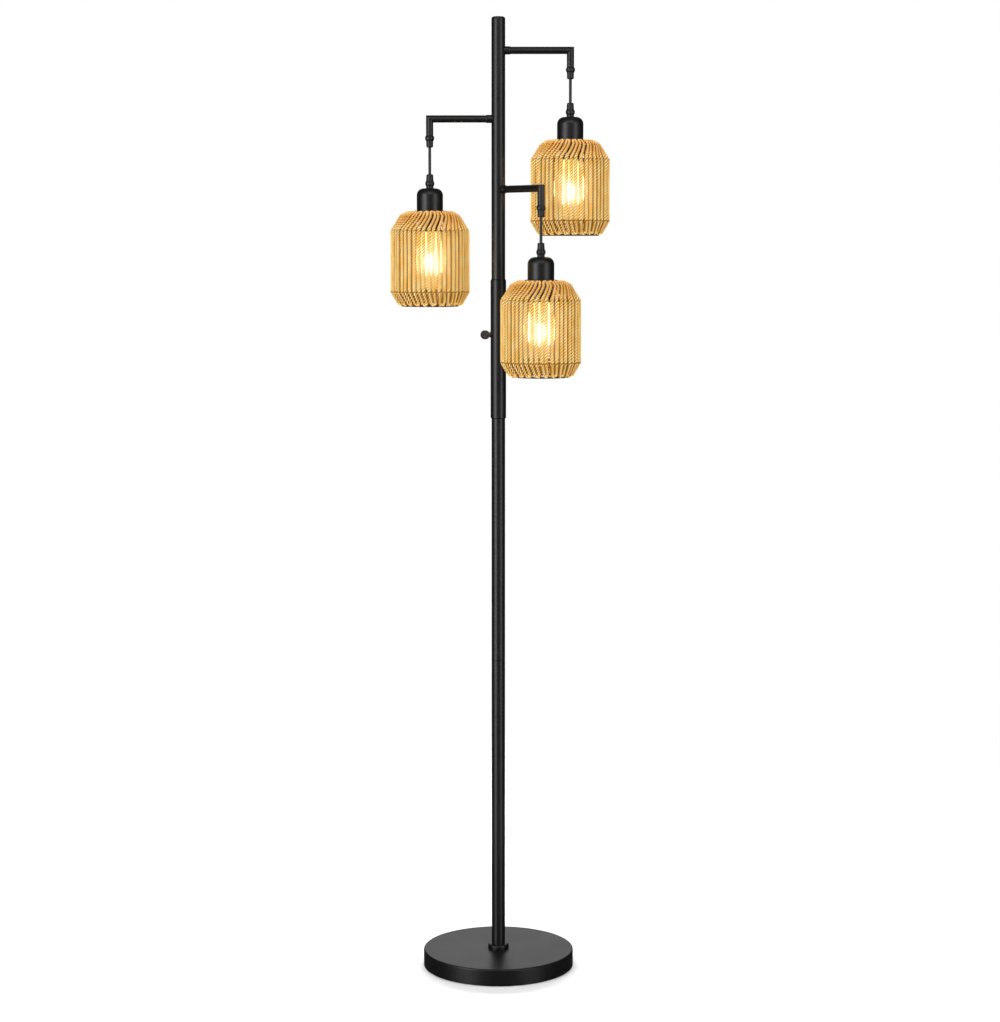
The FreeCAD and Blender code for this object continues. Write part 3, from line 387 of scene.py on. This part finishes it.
def twisted_paper_rope(rope):
    """Paper cord, twisted from three strands and left golden: dull, fibrous, shade painted in its
    grooves.

    Light from the bulb soaks through it, as through a shade of straw, and more is painted on as a
    glow.
    """
    material = new_material("twisted_paper_rope")
    tree = material.node_tree
    pale, tan, russet = rgba(rope.pale), rgba(rope.tan), rgba(rope.russet)
    # The groove colour is the brown of the shade painted into grooves, between runs and at the
    # rings.
    brown, warmth = rgba(rope.groove_shade_colour), rgba(rope.warmth)
    along, groove, flank, level = (
        add(tree, "ShaderNodeAttribute", out="Fac", attribute_name=name)
        for name in ("along", "groove", "flank", "level")
    )

    # Fibres lie along the strands. Real ones are too fine to show, so these are drawn coarser:
    # about 0.5 mm apart and 6 mm long.
    section = add(tree, "ShaderNodeAttribute", out="Vector", attribute_name="round")
    up = add(tree, "ShaderNodeCombineXYZ", {"Z": along})
    around = add(tree, "ShaderNodeVectorMath", {0: section, "Scale": 7.0}, operation="SCALE")
    lengthwise = add(tree, "ShaderNodeVectorMath", {0: up, "Scale": 160.0}, operation="SCALE")
    place = add(tree, "ShaderNodeVectorMath", {0: around, 1: lengthwise}, operation="ADD")
    lay = {"Vector": place, "Scale": 1.0, "Detail": 4.0, "Roughness": 0.65}
    fibres = add(tree, "ShaderNodeTexNoise", lay, out="Fac")

    # Each batch of paper is a little darker or paler, over some 30 mm of rope.
    stretches = {"W": along, "Scale": 34.0, "Detail": 3.0}
    batch = add(tree, "ShaderNodeTexNoise", stretches, out="Fac", noise_dimensions="1D")

    # Its colour goes from tan to pale and is streaked by fibres. Shade is painted darker into the
    # grooves, and painted shade browns the rope over the shade's top, where less light reaches it.
    colour = tan
    for value, start, end, most, tint in (
        (batch, 0.35, 0.65, 1.0, pale),
        (fibres, 0.0, 1.0, 0.4, russet),
        (groove, 0.0, 1.0, 0.9, brown),
        (level, *PAINTED_TOP_SHADE, 0.55, russet),
    ):
        spread = {"Value": value, "From Min": start, "From Max": end, "To Max": most}
        share = add(tree, "ShaderNodeMapRange", spread)
        blend = {"Factor": share, 6: colour, 7: tint}
        colour = add(tree, "ShaderNodeMix", blend, out=2, data_type="RGBA")

    # Shade is painted where one run faces the next, and most so below the wall, where the runs
    # crowd.
    spread = {"Value": level, "From Min": UNDER_WALL[0], "From Max": UNDER_WALL[1], "To Max": 0.28}
    below = add(tree, "ShaderNodeMapRange", spread)
    painted_run_shade = add(tree, "ShaderNodeMath", {0: flank, 1: below}, operation="ADD")
    spread = {"Value": painted_run_shade, "From Min": 0.56, "From Max": 0.98}
    against = add(tree, "ShaderNodeMapRange", spread, interpolation_type="SMOOTHSTEP")

    # Shade is painted in a thin band where the rope bends over the frame's rings, most so at the
    # lower one.
    low = add(tree, "ShaderNodeMath", {0: level, 1: LOW_RING, 2: LOW_RING_SHADE}, operation="COMPARE")
    high = add(tree, "ShaderNodeMath", {0: level, 1: HIGH_RING, 2: HIGH_RING_SHADE}, operation="COMPARE")
    faint = add(tree, "ShaderNodeMath", {0: high, 1: 0.4}, operation="MULTIPLY")
    ring_band_shade = add(tree, "ShaderNodeMath", {0: low, 1: 0.75, 2: faint}, operation="MULTIPLY_ADD")
    dark = add(tree, "ShaderNodeMath", {0: against, 1: ring_band_shade}, operation="MAXIMUM")
    blend = {"Factor": dark, 6: colour, 7: brown}
    colour = add(tree, "ShaderNodeMix", blend, out=2, data_type="RGBA")

    # Painted glow: an emission stands in for the bulb's light coming through, warmer. It is painted
    # weaker over the shade's top, as the lamp holder's shadow, and stronger below the wall, as
    # light from the floor.
    blend = {"Factor": 1.0, 6: colour, 7: warmth}
    painted_glow_colour = add(tree, "ShaderNodeMix", blend, out=2, data_type="RGBA", blend_type="MULTIPLY")
    spread = {
        "Value": level,
        "From Min": HOLDER_SHADE[0],
        "From Max": HOLDER_SHADE[1],
        "To Min": rope.lit,
        "To Max": 0.38 * rope.lit,
    }
    lit = add(tree, "ShaderNodeMapRange", spread, interpolation_type="SMOOTHSTEP")
    glow = add(tree, "ShaderNodeMath", {0: below, 1: 0.8, 2: lit}, operation="MULTIPLY_ADD")

    rough = add(tree, "ShaderNodeMapRange", {"Value": fibres, "To Min": 0.65, "To Max": 0.85})
    bumps = {"Height": fibres, "Distance": 0.35 * MM, "Strength": 0.8}
    body = add(
        tree,
        "ShaderNodeBsdfPrincipled",
        {
            "Base Color": colour,
            "Emission Color": painted_glow_colour,
            "Emission Strength": glow,
            "Roughness": rough,
            "Normal": add(tree, "ShaderNodeBump", bumps),
            "IOR": 1.45,
            "Subsurface Weight": rope.soak,
            "Subsurface Radius": (1.0, 0.8, 0.5),
            "Subsurface Scale": 3.0 * MM,
            "Specular IOR Level": 0.15,
            "Sheen Weight": 0.04,
            "Sheen Roughness": 0.5,
        },
    )
    add(tree, "ShaderNodeOutputMaterial", {"Surface": body})
    return material


# Rope and cords


def spline_curve(name, points):
    """A smooth NURBS route through the pull of its points."""
    data = bpy.data.curves.new(name, "CURVE")
    data.dimensions = "3D"
    spline = data.splines.new("NURBS")
    spline.points.add(len(points) - 1)
    for point, place in zip(spline.points, points):
        point.co = (*place, 1.0)
    spline.order_u = 3
    spline.use_endpoint_u = True
    spline.resolution_u = 6
    return new_object(name, data)


def route_line(name, points):
    """The line that a route's own spline follows, as a chain of edges."""
    curve = spline_curve(f"{name}_route", points)
    graph = bpy.context.evaluated_depsgraph_get()
    mesh = bpy.data.meshes.new_from_object(curve.evaluated_get(graph), depsgraph=graph)
    bpy.data.objects.remove(curve)
    return new_object(name, mesh)


def rope_points(n, rope):
    """Control points of one shade's rope, wound down and up over the frame by hand."""
    chance = random.Random(rope.seed + n)
    centre = lamp_centre(n)
    runs = 2 * rope.loops
    points = []
    for number in range(runs):
        slip = chance.uniform(-rope.hand, rope.hand)
        sway = chance.uniform(-rope.hand, rope.hand)
        run = []
        for row, (radius, height, lean) in enumerate(ROPE_RUN):
            middle = 1.0 if row == MIDDLE_OF_WALL else 0.0
            turn = number * math.tau / runs + math.radians(lean) + slip + sway * middle
            away = (radius + chance.uniform(-STRAY_OUT, STRAY_OUT)) * MM
            level = (height + chance.uniform(-STRAY_UP, STRAY_UP)) * MM
            run.append(centre + Vector((away * math.cos(turn), away * math.sin(turn), level)))
        points += run if number % 2 == 0 else run[::-1]
    return points


def rope_tree():
    """The tree that lays strands round a route and twists them as one rope."""
    tree = bpy.data.node_groups.new("Lay rope", "GeometryNodeTree")
    face = tree.interface
    for name, kind in (
        ("Route", "Geometry"),
        ("Diameter", "Float"),
        ("Strands", "Int"),
        ("Lay pitch", "Float"),
        ("Groove", "Float"),
        ("Step", "Float"),
        ("Unevenness", "Float"),
        ("Crowded from", "Float"),
        ("Crowded share", "Float"),
        ("Flat below", "Float"),
        ("Centre", "Vector"),
        ("Seed", "Int"),
        ("Finish", "Material"),
    ):
        face.new_socket(name, in_out="INPUT", socket_type=f"NodeSocket{kind}")
    face.new_socket("Rope", in_out="OUTPUT", socket_type="NodeSocketGeometry")
    given = tree.nodes.new("NodeGroupInput").outputs

    # The route turns as it goes, so that what is swept along it is twisted.
    line = add(tree, "GeometryNodeMeshToCurve", {"Mesh": given["Route"]})
    steps = {"Curve": line, "Length": given["Step"]}
    even = add(tree, "GeometryNodeResampleCurve", steps, mode="LENGTH")
    length = add(tree, "GeometryNodeSplineParameter", out="Length")
    marks = {"Geometry": even, "Name": "along", "Value": length}
    marked = add(tree, "GeometryNodeStoreNamedAttribute", marks)
    turns = add(tree, "ShaderNodeMath", {0: length, 1: given["Lay pitch"]}, operation="DIVIDE")
    twist = add(tree, "ShaderNodeMath", {0: turns, 1: math.tau}, operation="MULTIPLY")
    tilted = add(tree, "GeometryNodeSetCurveTilt", {"Curve": marked, "Tilt": twist})

    # The rope swells and thins a little along its length.
    where = add(tree, "ShaderNodeCombineXYZ", {"X": length, "Y": given["Seed"]})
    swell = add(tree, "ShaderNodeTexNoise", {"Vector": where, "Scale": 60.0}, out="Fac")
    middle = add(tree, "ShaderNodeMath", {0: swell, 1: 0.5}, operation="SUBTRACT")
    parts = {0: middle, 1: given["Unevenness"], 2: 0.5}
    swing = add(tree, "ShaderNodeMath", parts, operation="MULTIPLY_ADD")
    thick = add(tree, "ShaderNodeMath", {0: swing, 1: given["Diameter"]}, operation="MULTIPLY")

    # Near the shade's top the runs crowd and squeeze each other thinner. Below the wall they
    # flatten against each other and close the gaps.
    spot = add(tree, "GeometryNodeInputPosition")
    level = add(tree, "ShaderNodeSeparateXYZ", {0: spot}, out="Z")
    for high, low, reach, most in (
        (level, given["Crowded from"], CROWDED_OVER, given["Crowded share"]),
        (given["Flat below"], level, FLAT_OVER, 1.1),
    ):
        past = add(tree, "ShaderNodeMath", {0: high, 1: low}, operation="SUBTRACT")
        spread = {"Value": past, "From Max": reach, "To Min": 1.0, "To Max": most}
        share = add(tree, "ShaderNodeMapRange", spread)
        thick = add(tree, "ShaderNodeMath", {0: thick, 1: share}, operation="MULTIPLY")

    # Four points to a strand: one on its crown, one in the groove and one on each flank.
    sides = add(tree, "ShaderNodeMath", {0: given["Strands"], 1: 4.0}, operation="MULTIPLY")
    circle = add(tree, "GeometryNodeCurvePrimitiveCircle", {"Resolution": sides, "Radius": 1.0})
    share = add(tree, "GeometryNodeSplineParameter", out="Factor")
    turn = add(tree, "ShaderNodeMath", {0: share, 1: math.tau}, operation="MULTIPLY")
    phase = add(tree, "ShaderNodeMath", {0: turn, 1: given["Strands"]}, operation="MULTIPLY")
    wave = add(tree, "ShaderNodeMath", {0: phase}, operation="COSINE")
    depth = add(tree, "ShaderNodeMath", {0: wave, 1: -0.5, 2: 0.5}, operation="MULTIPLY_ADD")
    cut = add(tree, "ShaderNodeMath", {0: depth, 1: given["Groove"]}, operation="MULTIPLY")
    shrink = add(tree, "ShaderNodeMath", {0: 1.0, 1: cut}, operation="SUBTRACT")
    place = add(tree, "GeometryNodeInputPosition")
    inwards = add(tree, "ShaderNodeVectorMath", {0: place, "Scale": shrink}, operation="SCALE")
    lobed = add(tree, "GeometryNodeSetPosition", {"Geometry": circle, "Position": inwards})
    marks = {"Geometry": lobed, "Name": "groove", "Value": depth}
    grooved = add(tree, "GeometryNodeStoreNamedAttribute", marks)
    marks = {"Geometry": grooved, "Name": "round", "Value": place}
    section = add(tree, "GeometryNodeStoreNamedAttribute", marks, data_type="FLOAT_VECTOR")
    sweep = {"Curve": tilted, "Profile Curve": section, "Scale": thick, "Fill Caps": True}
    swept = add(tree, "GeometryNodeCurveToMesh", sweep)

    # Each point knows how far it lies below the cup's rim and how much it faces the next run.
    spot = add(tree, "GeometryNodeInputPosition")
    outward = add(tree, "ShaderNodeVectorMath", {0: spot, 1: given["Centre"]}, operation="SUBTRACT")
    level = add(tree, "ShaderNodeSeparateXYZ", {0: outward}, out="Z")
    marks = {"Geometry": swept, "Name": "level", "Value": level}
    levelled = add(tree, "GeometryNodeStoreNamedAttribute", marks)
    pair = {0: outward, 1: (0.0, 0.0, 1.0)}
    crosswise = add(tree, "ShaderNodeVectorMath", pair, operation="CROSS_PRODUCT")
    aside = add(tree, "ShaderNodeVectorMath", {0: crosswise}, operation="NORMALIZE")
    pair = {0: add(tree, "GeometryNodeInputNormal"), 1: aside}
    facing = add(tree, "ShaderNodeVectorMath", pair, out="Value", operation="DOT_PRODUCT")
    flank = add(tree, "ShaderNodeMath", {0: facing}, operation="ABSOLUTE")
    marks = {"Geometry": levelled, "Name": "flank", "Value": flank}
    flanked = add(tree, "GeometryNodeStoreNamedAttribute", marks)
    smooth = add(tree, "GeometryNodeSetShadeSmooth", {"Geometry": flanked})
    whole = add(tree, "GeometryNodeRealizeInstances", {"Geometry": smooth})
    dressing = {"Geometry": whole, "Material": given["Finish"]}
    dressed = add(tree, "GeometryNodeSetMaterial", dressing)
    add(tree, "NodeGroupOutput", {"Rope": dressed})
    return tree


def baked(source, tree, sizes, name):
    """What a tree makes of an object, as a plain mesh of its own. The source is used up."""
    modifier = source.modifiers.new(tree.name, "NODES")
    modifier.node_group = tree
    sockets = {
        item.name: item.identifier for item in tree.interface.items_tree if item.in_out == "INPUT"
    }
    for socket, size in sizes.items():
        modifier[sockets[socket]] = size
    graph = bpy.context.evaluated_depsgraph_get()
    mesh = bpy.data.meshes.new_from_object(
        source.evaluated_get(graph), preserve_all_data_layers=True, depsgraph=graph
    )
    mesh.name = name
    bpy.data.objects.remove(source)
    return new_object(name, mesh)


# Settings that a user may change


class LampRope(PropertyGroup):
    diameter: FloatProperty(
        name="Diameter",
        description="Across the rope's strands where it has room to swell",
        default=0.0076,
        unit="LENGTH",
    )
    strands: IntProperty(name="Strands", description="Strands twisted into the rope", default=3)
    pitch: FloatProperty(
        name="Lay pitch",
        description="Length of rope in which a strand goes once round",
        default=0.0155,
        unit="LENGTH",
    )
    groove: FloatProperty(
        name="Groove depth",
        description="Depth of the grooves between the strands, as a share of the rope's radius",
        default=0.3,
        subtype="FACTOR",
    )
    unevenness: FloatProperty(
        name="Unevenness",
        description="How much the rope swells and thins along its length",
        default=0.16,
        subtype="FACTOR",
    )
    crowded: FloatProperty(
        name="Crowded share",
        description="What is left of the rope's thickness where the runs crowd at the top",
        default=0.7,
        subtype="FACTOR",
    )
    loops: IntProperty(
        name="Loops", description="Times the rope goes down and up again round a shade", default=24
    )
    hand: FloatProperty(
        name="Hand winding",
        description="How far a run strays from its even place round the shade",
        default=math.radians(0.9),
        subtype="ANGLE",
    )
    soak: FloatProperty(
        name="Soak",
        description="Share of the light that soaks into the rope and shows beyond",
        default=0.25,
        subtype="FACTOR",
    )
    # Strength of the glow painted on the rope as emission
    lit: FloatProperty(
        name="Lit from inside",
        description="How strongly the light scattered in the shade shines through the rope",
        default=0.86,
    )
    seed: IntProperty(name="Seed", description="Picks another hand-wound pattern", default=4)
    pale: FloatVectorProperty(
        name="Pale",
        description="Rope's palest stretches",
        default=hex_colour("#ffecb0"),
        subtype="COLOR",
    )
    tan: FloatVectorProperty(
        name="Tan",
        description="Rope's darker stretches",
        default=hex_colour("#f4cd78"),
        subtype="COLOR",
    )
    # Tint of the glow painted on the rope
    warmth: FloatVectorProperty(
        name="Warmth",
        description="Tint of the light that shines through",
        default=hex_colour("#fff0c4"),
        subtype="COLOR",
    )
    russet: FloatVectorProperty(
        name="Russet",
        description="Fibres that run darker",
        default=hex_colour("#c98a3a"),
        subtype="COLOR",
    )
    # Colour of the shade painted into the grooves, between the runs and at the rings
    groove_shade_colour: FloatVectorProperty(
        name="Groove",
        description="Between the strands",
        default=hex_colour("#5e3a0e"),
        subtype="COLOR",
    )


class LampCord(PropertyGroup):
    diameter: FloatProperty(
        name="Diameter", description="Across the hanging cord", default=0.005, unit="LENGTH"
    )


class LampStage(PropertyGroup):
    glow: FloatProperty(name="Bulb glow", description="Strength of each lit bulb", default=45.0)
    key: FloatProperty(
        name="Key light", description="Tall soft light on the left", default=60.0, subtype="POWER"
    )
    fill: FloatProperty(
        name="Fill light", description="Weaker light on the right", default=20.0, subtype="POWER"
    )
    top: FloatProperty(
        name="Top light", description="Wide light overhead", default=84.0, subtype="POWER"
    )
    back: FloatProperty(
        name="Back light",
        description="Wide, low light from behind",
        default=84.0,
        subtype="POWER",
    )
    left_card: FloatProperty(
        name="Left card",
        description="Tall card on the left, which only the gloss of the paint shows",
        default=68.0,
        subtype="POWER",
    )
    right_card: FloatProperty(
        name="Right card",
        description="Tall card on the right, which only the gloss of the paint shows",
        default=34.0,
        subtype="POWER",
    )
    high_card: FloatProperty(
        name="High card",
        description="Wide card over the camera, which only the gloss of the paint shows",
        default=22.0,
        subtype="POWER",
    )
    floor: FloatProperty(
        name="Floor", description="How far the floor reaches round", default=2.4, unit="LENGTH"
    )
    wall: FloatProperty(
        name="Wall light", description="Light from the low part of the wall behind", default=1.15
    )
    sky: FloatProperty(
        name="Room light", description="Even light from all round", default=0.04
    )


# Pieces


class LAMP_OT_camera(Operator):
    """Sets a camera at the photograph's viewing angle, a little above the middle of the lamp"""

    bl_idname = "tree_lamp.camera"
    bl_label = "Camera"

    def execute(self, context):
        data = bpy.data.cameras.new("camera")
        data.lens = CAMERA_LENS
        data.sensor_width = 36.0
        data.clip_start, data.clip_end = 0.05, 60.0
        camera = new_object("camera", data)
        camera.location = CAMERA_PLACE
        camera.rotation_euler = (math.radians(90 - CAMERA_DOWN), 0.0, 0.0)
        context.scene.camera = camera
        return {"FINISHED"}


class LAMP_OT_hanging_cords(Operator):
    """Hangs each lamp on its cord, between the arm's grip and the cup's grip"""

    bl_idname = "tree_lamp.hanging_cords"
    bl_label = "Hanging cords"

    def execute(self, context):
        cord = context.scene.lamp_cord
        jacket = cord_jacket()
        for n in LAMPS:
            low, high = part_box(f"pendant_cord_{n}")
            middle = (low + high) / 2
            length = high.z - low.z
            # Inside the grips its ends stop a little short and narrow, to leave room for the swing.
            top, bottom = high.z - CORD_CLEARANCE, low.z + CORD_CLEARANCE
            hidden, inner = 2.5 * MM, 0.3 * length
            heights = [top, top - hidden, top - inner, bottom + inner, bottom + hidden, bottom]
            points = [(middle.x, middle.y, height) for height in heights]
            piece = spline_curve(f"hanging_cord_{n}", points)
            for end in (0, -1):
                piece.data.splines[0].points[end].radius = 0.86
            piece.data.bevel_depth = cord.diameter / 2
            piece.data.bevel_resolution = 6
            piece.data.use_fill_caps = True
            piece.data.materials.append(jacket)
            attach(piece, f"cord_{n}")
            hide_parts(f"pendant_cord_{n}")
        return {"FINISHED"}


class LAMP_OT_shade_ropes(Operator):
    """Winds each shade's rope over its frame, down and up again all the way round"""

    bl_idname = "tree_lamp.shade_ropes"
    bl_label = "Shade ropes"

    def execute(self, context):
        rope = context.scene.lamp_rope
        paper = twisted_paper_rope(rope)
        tree = rope_tree()
        for n in LAMPS:
            centre = lamp_centre(n)
            sizes = {
                "Diameter": rope.diameter,
                "Strands": rope.strands,
                "Lay pitch": rope.pitch,
                "Groove": rope.groove,
                "Step": 1.2 * MM,
                "Unevenness": rope.unevenness,
                "Crowded from": centre.z + CROWDED_FROM,
                "Crowded share": rope.crowded,
                "Flat below": centre.z + FLAT_BELOW,
                "Centre": centre,
                "Seed": rope.seed + n,
                "Finish": paper,
            }
            line = route_line(f"wound_rope_{n}", rope_points(n, rope))
            piece = baked(line, tree, sizes, f"wound_rope_{n}")
            piece.visible_glossy = False
            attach(piece, f"lamp_{n}")
            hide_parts(f"shade_rope_{n}")
        return {"FINISHED"}


class LAMP_OT_shade_frames(Operator):
    """Finishes the wire frames under the ropes"""

    bl_idname = "tree_lamp.shade_frames"
    bl_label = "Shade frames"

    def execute(self, context):
        dress(frame_wire(), *each_lamp("shade_frame"))
        return {"FINISHED"}


class LAMP_OT_painted_steel(Operator):
    """Finishes the base, the pole, the arms and the socket cups, all painted steel"""

    bl_idname = "tree_lamp.painted_steel"
    bl_label = "Painted steel"

    def execute(self, context):
        dress(
            powder_coated_steel(),
            "base_cover",
            "base_bottom_plate",
            "pole_foot_ring",
            "lower_pole",
            "middle_pole",
            "upper_pole",
            "switch_sleeve",
            *each_lamp("arm", "arm_ferrule", "socket_cup"),
        )
        return {"FINISHED"}


class LAMP_OT_black_mouldings(Operator):
    """Finishes the cord grips, the pole's cap, the switch knob and the cord's grommet"""

    bl_idname = "tree_lamp.black_mouldings"
    bl_label = "Black mouldings"

    def execute(self, context):
        grips = each_lamp("upper_cord_grip", "lower_cord_grip")
        dress(moulded_nylon(), "pole_cap", "cord_grommet", *grips)
        dress(matt_knob_plastic(), "switch_knob")
        return {"FINISHED"}


class LAMP_OT_switch(Operator):
    """Finishes the turn switch and the lamp holders, all pressed phenolic"""

    bl_idname = "tree_lamp.switch"
    bl_label = "Switch and holders"

    def execute(self, context):
        holders = each_lamp("lamp_holder", "shade_ring")
        dress(polished_phenolic(), "switch_body", "switch_ring_nut", "switch_shaft", *holders)
        return {"FINISHED"}


class LAMP_OT_inner_works(Operator):
    """Finishes the weight, the fixings, the floor pad and the wires"""

    bl_idname = "tree_lamp.inner_works"
    bl_label = "Inner works"

    def execute(self, context):
        dress(cast_iron(), "base_weight")
        dress(foam_sheet(), "base_pad")
        dress(zinc_plate(), "base_washer", "base_nut", "base_nipple", "tube_inserts", "seam_stud")
        dress(wire_insulation(), "pole_wires", *each_lamp("holder_lead"))
        return {"FINISHED"}


def filament_mesh(n):
    """Upright strips in a ring about the bulb's axis, each a closed, slightly bowed rod."""
    centre = lamp_centre(n)
    middle = (FILAMENT[0][0] + FILAMENT[-1][0]) / 2
    half = FILAMENT[0][0] - middle
    rows = len(FILAMENT)
    points, faces = [], []
    for strip in range(STRIPS):
        turn = math.tau * strip / STRIPS
        start = len(points)
        for level, radius in FILAMENT:
            bow = STRIP_RING + STRIP_BOW * (1 - ((level - middle) / half) ** 2)
            for side in range(STRIP_SIDES):
                round_it = math.tau * side / STRIP_SIDES
                east = bow * math.cos(turn) + radius * math.cos(round_it)
                north = bow * math.sin(turn) + radius * math.sin(round_it)
                points.append(centre + Vector((east, north, level)) * MM)
        for row in range(rows - 1):
            first = start + row * STRIP_SIDES
            for side in range(STRIP_SIDES):
                here, after = first + side, first + (side + 1) % STRIP_SIDES
                faces.append((here, here + STRIP_SIDES, after + STRIP_SIDES, after))
        last = start + (rows - 1) * STRIP_SIDES
        faces.append(tuple(start + side for side in range(STRIP_SIDES)))
        faces.append(tuple(last + side for side in reversed(range(STRIP_SIDES))))
    mesh = bpy.data.meshes.new(f"filament_{n}")
    mesh.from_pydata(points, [], faces)
    return mesh


class LAMP_OT_bulbs(Operator):
    """Lights the three bulbs"""

    bl_idname = "tree_lamp.bulbs"
    bl_label = "Bulbs"

    def execute(self, context):
        dress(blown_glass(), *each_lamp("bulb_glass"))
        dress(drawn_aluminium(), *each_lamp("bulb_cap"))
        phosphor = glowing_filament(context.scene.lamp_stage.glow)
        for n in LAMPS:
            piece = new_object(f"filament_{n}", filament_mesh(n))
            piece.data.materials.append(phosphor)
            piece.visible_glossy = False
            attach(piece, f"lamp_{n}")
        return {"FINISHED"}


# Stage


def floor_paint(reach):
    """Matt white paint on a studio floor, which runs out evenly into the white of the room."""
    material = new_material("studio_floor")
    tree = material.node_tree
    place = add(tree, "ShaderNodeTexCoord", out="Object")
    away = add(tree, "ShaderNodeVectorMath", {0: place}, out="Value", operation="LENGTH")
    spread = {"Value": away, "From Min": 0.25 * reach, "From Max": 0.95 * reach}
    gone = add(tree, "ShaderNodeMapRange", spread, interpolation_type="SMOOTHSTEP")
    white = {"Base Color": rgba(hex_colour("#f4f4f4")), "Roughness": 0.9, "Specular IOR Level": 0.1}
    paint = add(tree, "ShaderNodeBsdfPrincipled", white)
    clear = add(tree, "ShaderNodeBsdfTransparent")
    mixed = add(tree, "ShaderNodeMixShader", {"Fac": gone, 1: paint, 2: clear})
    add(tree, "ShaderNodeOutputMaterial", {"Surface": mixed})
    return material


def floor_disc(reach):
    sides = 64
    turns = [math.tau * k / sides for k in range(sides)]
    rim = [(reach * math.cos(turn), reach * math.sin(turn), 0.0) for turn in turns]
    mesh = bpy.data.meshes.new("floor")
    mesh.from_pydata(rim, [], [list(range(sides))])
    mesh.materials.append(floor_paint(reach))
    floor = new_object("floor", mesh)
    floor.visible_glossy = False
    return floor


def soft_light(name, place, size, power, aim, card):
    """An area light, or a card that is only seen mirrored in the paint."""
    data = bpy.data.lights.new(name, "AREA")
    data.shape = "RECTANGLE"
    data.size, data.size_y = size
    data.energy = power
    light = new_object(name, data)
    light.visible_glossy = card
    light.visible_diffuse = not card
    light.location = place
    light.rotation_euler = (Vector(aim) - Vector(place)).to_track_quat("-Z", "Y").to_euler()


def white_room(stage):
    """A room that is white to look at, but mirrored as a dim one with a low lit wall behind."""
    world = bpy.data.worlds.new("white_room")
    world.use_nodes = True
    tree = world.node_tree
    tree.nodes.clear()
    heading = add(tree, "ShaderNodeTexCoord", out="Generated")
    pair = {0: heading, 1: (0.0, 0.93, 0.37)}  # towards the lit part of the wall
    toward = add(tree, "ShaderNodeVectorMath", pair, out="Value", operation="DOT_PRODUCT")
    spread = {
        "Value": toward,
        "From Min": math.cos(math.radians(18.0)),
        "From Max": math.cos(math.radians(6.0)),
        "To Min": stage.sky,
        "To Max": stage.wall,
    }
    strength = add(tree, "ShaderNodeMapRange", spread, interpolation_type="SMOOTHSTEP")
    white = (1.0, 1.0, 1.0, 1.0)
    cast = add(tree, "ShaderNodeBackground", {"Color": white, "Strength": strength})
    seen = add(tree, "ShaderNodeBackground", {"Color": white, "Strength": 1.0})
    sight = add(tree, "ShaderNodeLightPath", out="Is Camera Ray")
    mixed = add(tree, "ShaderNodeMixShader", {"Fac": sight, 1: cast, 2: seen})
    add(tree, "ShaderNodeOutputWorld", {"Surface": mixed})
    return world


class LAMP_OT_stage(Operator):
    """Sets the lamp on a white floor in a white room, under soft lights"""

    bl_idname = "tree_lamp.stage"
    bl_label = "Stage"

    def execute(self, context):
        stage = context.scene.lamp_stage
        floor = floor_disc(stage.floor)

        chest, feet = (0.0, 0.0, 0.95), (0.0, 0.0, 0.0)
        for name, place, size, power, aim, card in (
            ("key_light", (-1.95, -2.4, 1.3), (1.7, 2.4), stage.key, chest, False),
            ("fill_light", (2.3, -1.7, 1.2), (1.2, 2.4), stage.fill, chest, False),
            ("top_light", (0.0, -0.4, 3.2), (3.0, 3.0), stage.top, feet, False),
            ("back_light", (0.0, 2.3, 1.6), (2.6, 0.7), stage.back, feet, False),
            ("left_card", (-2.25, -2.1, 1.0), (1.5, 3.0), stage.left_card, chest, True),
            ("right_card", (2.25, -2.0, 1.0), (1.3, 3.0), stage.right_card, chest, True),
            ("high_card", (0.0, -2.2, 3.1), (3.0, 0.8), stage.high_card, chest, True),
        ):
            soft_light(name, place, size, power, aim, card)
        context.scene.world = white_room(stage)
        context.scene.view_settings.view_transform = "Standard"

        # The lit bulbs bloom a little, as they do in a lens.
        context.scene.use_nodes = True
        lens = context.scene.node_tree
        lens.nodes.clear()
        bloom = {
            "Image": add(lens, "CompositorNodeRLayers", out="Image"),
            "Threshold": 1.6,
            "Strength": 1.2,
            "Size": 0.06,
            "Saturation": 0.5,
            "Tint": (0.86, 1.0, 0.84, 1.0),
        }
        picture = add(lens, "CompositorNodeGlare", bloom, glare_type="BLOOM")
        add(lens, "CompositorNodeComposite", {"Image": picture})
        return {"FINISHED"}


ORDER = (
    LAMP_OT_camera,
    LAMP_OT_hanging_cords,
    LAMP_OT_shade_ropes,
    LAMP_OT_shade_frames,
    LAMP_OT_painted_steel,
    LAMP_OT_black_mouldings,
    LAMP_OT_switch,
    LAMP_OT_inner_works,
    LAMP_OT_bulbs,
    LAMP_OT_stage,
)


class LAMP_PT_pieces(Panel):
    """Lists the lamp's pieces and their settings"""

    bl_idname = "LAMP_PT_pieces"
    bl_label = "Tree Floor Lamp"
    bl_space_type = "VIEW_3D"
    bl_region_type = "UI"
    bl_category = "Lamp"

    def draw(self, context):
        scene = context.scene
        for settings in (scene.lamp_rope, scene.lamp_cord, scene.lamp_stage):
            box = self.layout.box()
            for name in settings.__annotations__:
                box.prop(settings, name)
        for operator in ORDER:
            self.layout.operator(operator.bl_idname)


CLASSES = (LampRope, LampCord, LampStage, *ORDER, LAMP_PT_pieces)


def register():
    for made in CLASSES:
        bpy.utils.register_class(made)
    bpy.types.Scene.lamp_rope = PointerProperty(type=LampRope)
    bpy.types.Scene.lamp_cord = PointerProperty(type=LampCord)
    bpy.types.Scene.lamp_stage = PointerProperty(type=LampStage)


def unregister():
    del bpy.types.Scene.lamp_stage
    del bpy.types.Scene.lamp_cord
    del bpy.types.Scene.lamp_rope
    for made in reversed(CLASSES):
        bpy.utils.unregister_class(made)


def main():
    register()
    for operator in ORDER:
        family, name = operator.bl_idname.split(".")
        getattr(getattr(bpy.ops, family), name)()


if __name__ == "__main__":
    main()
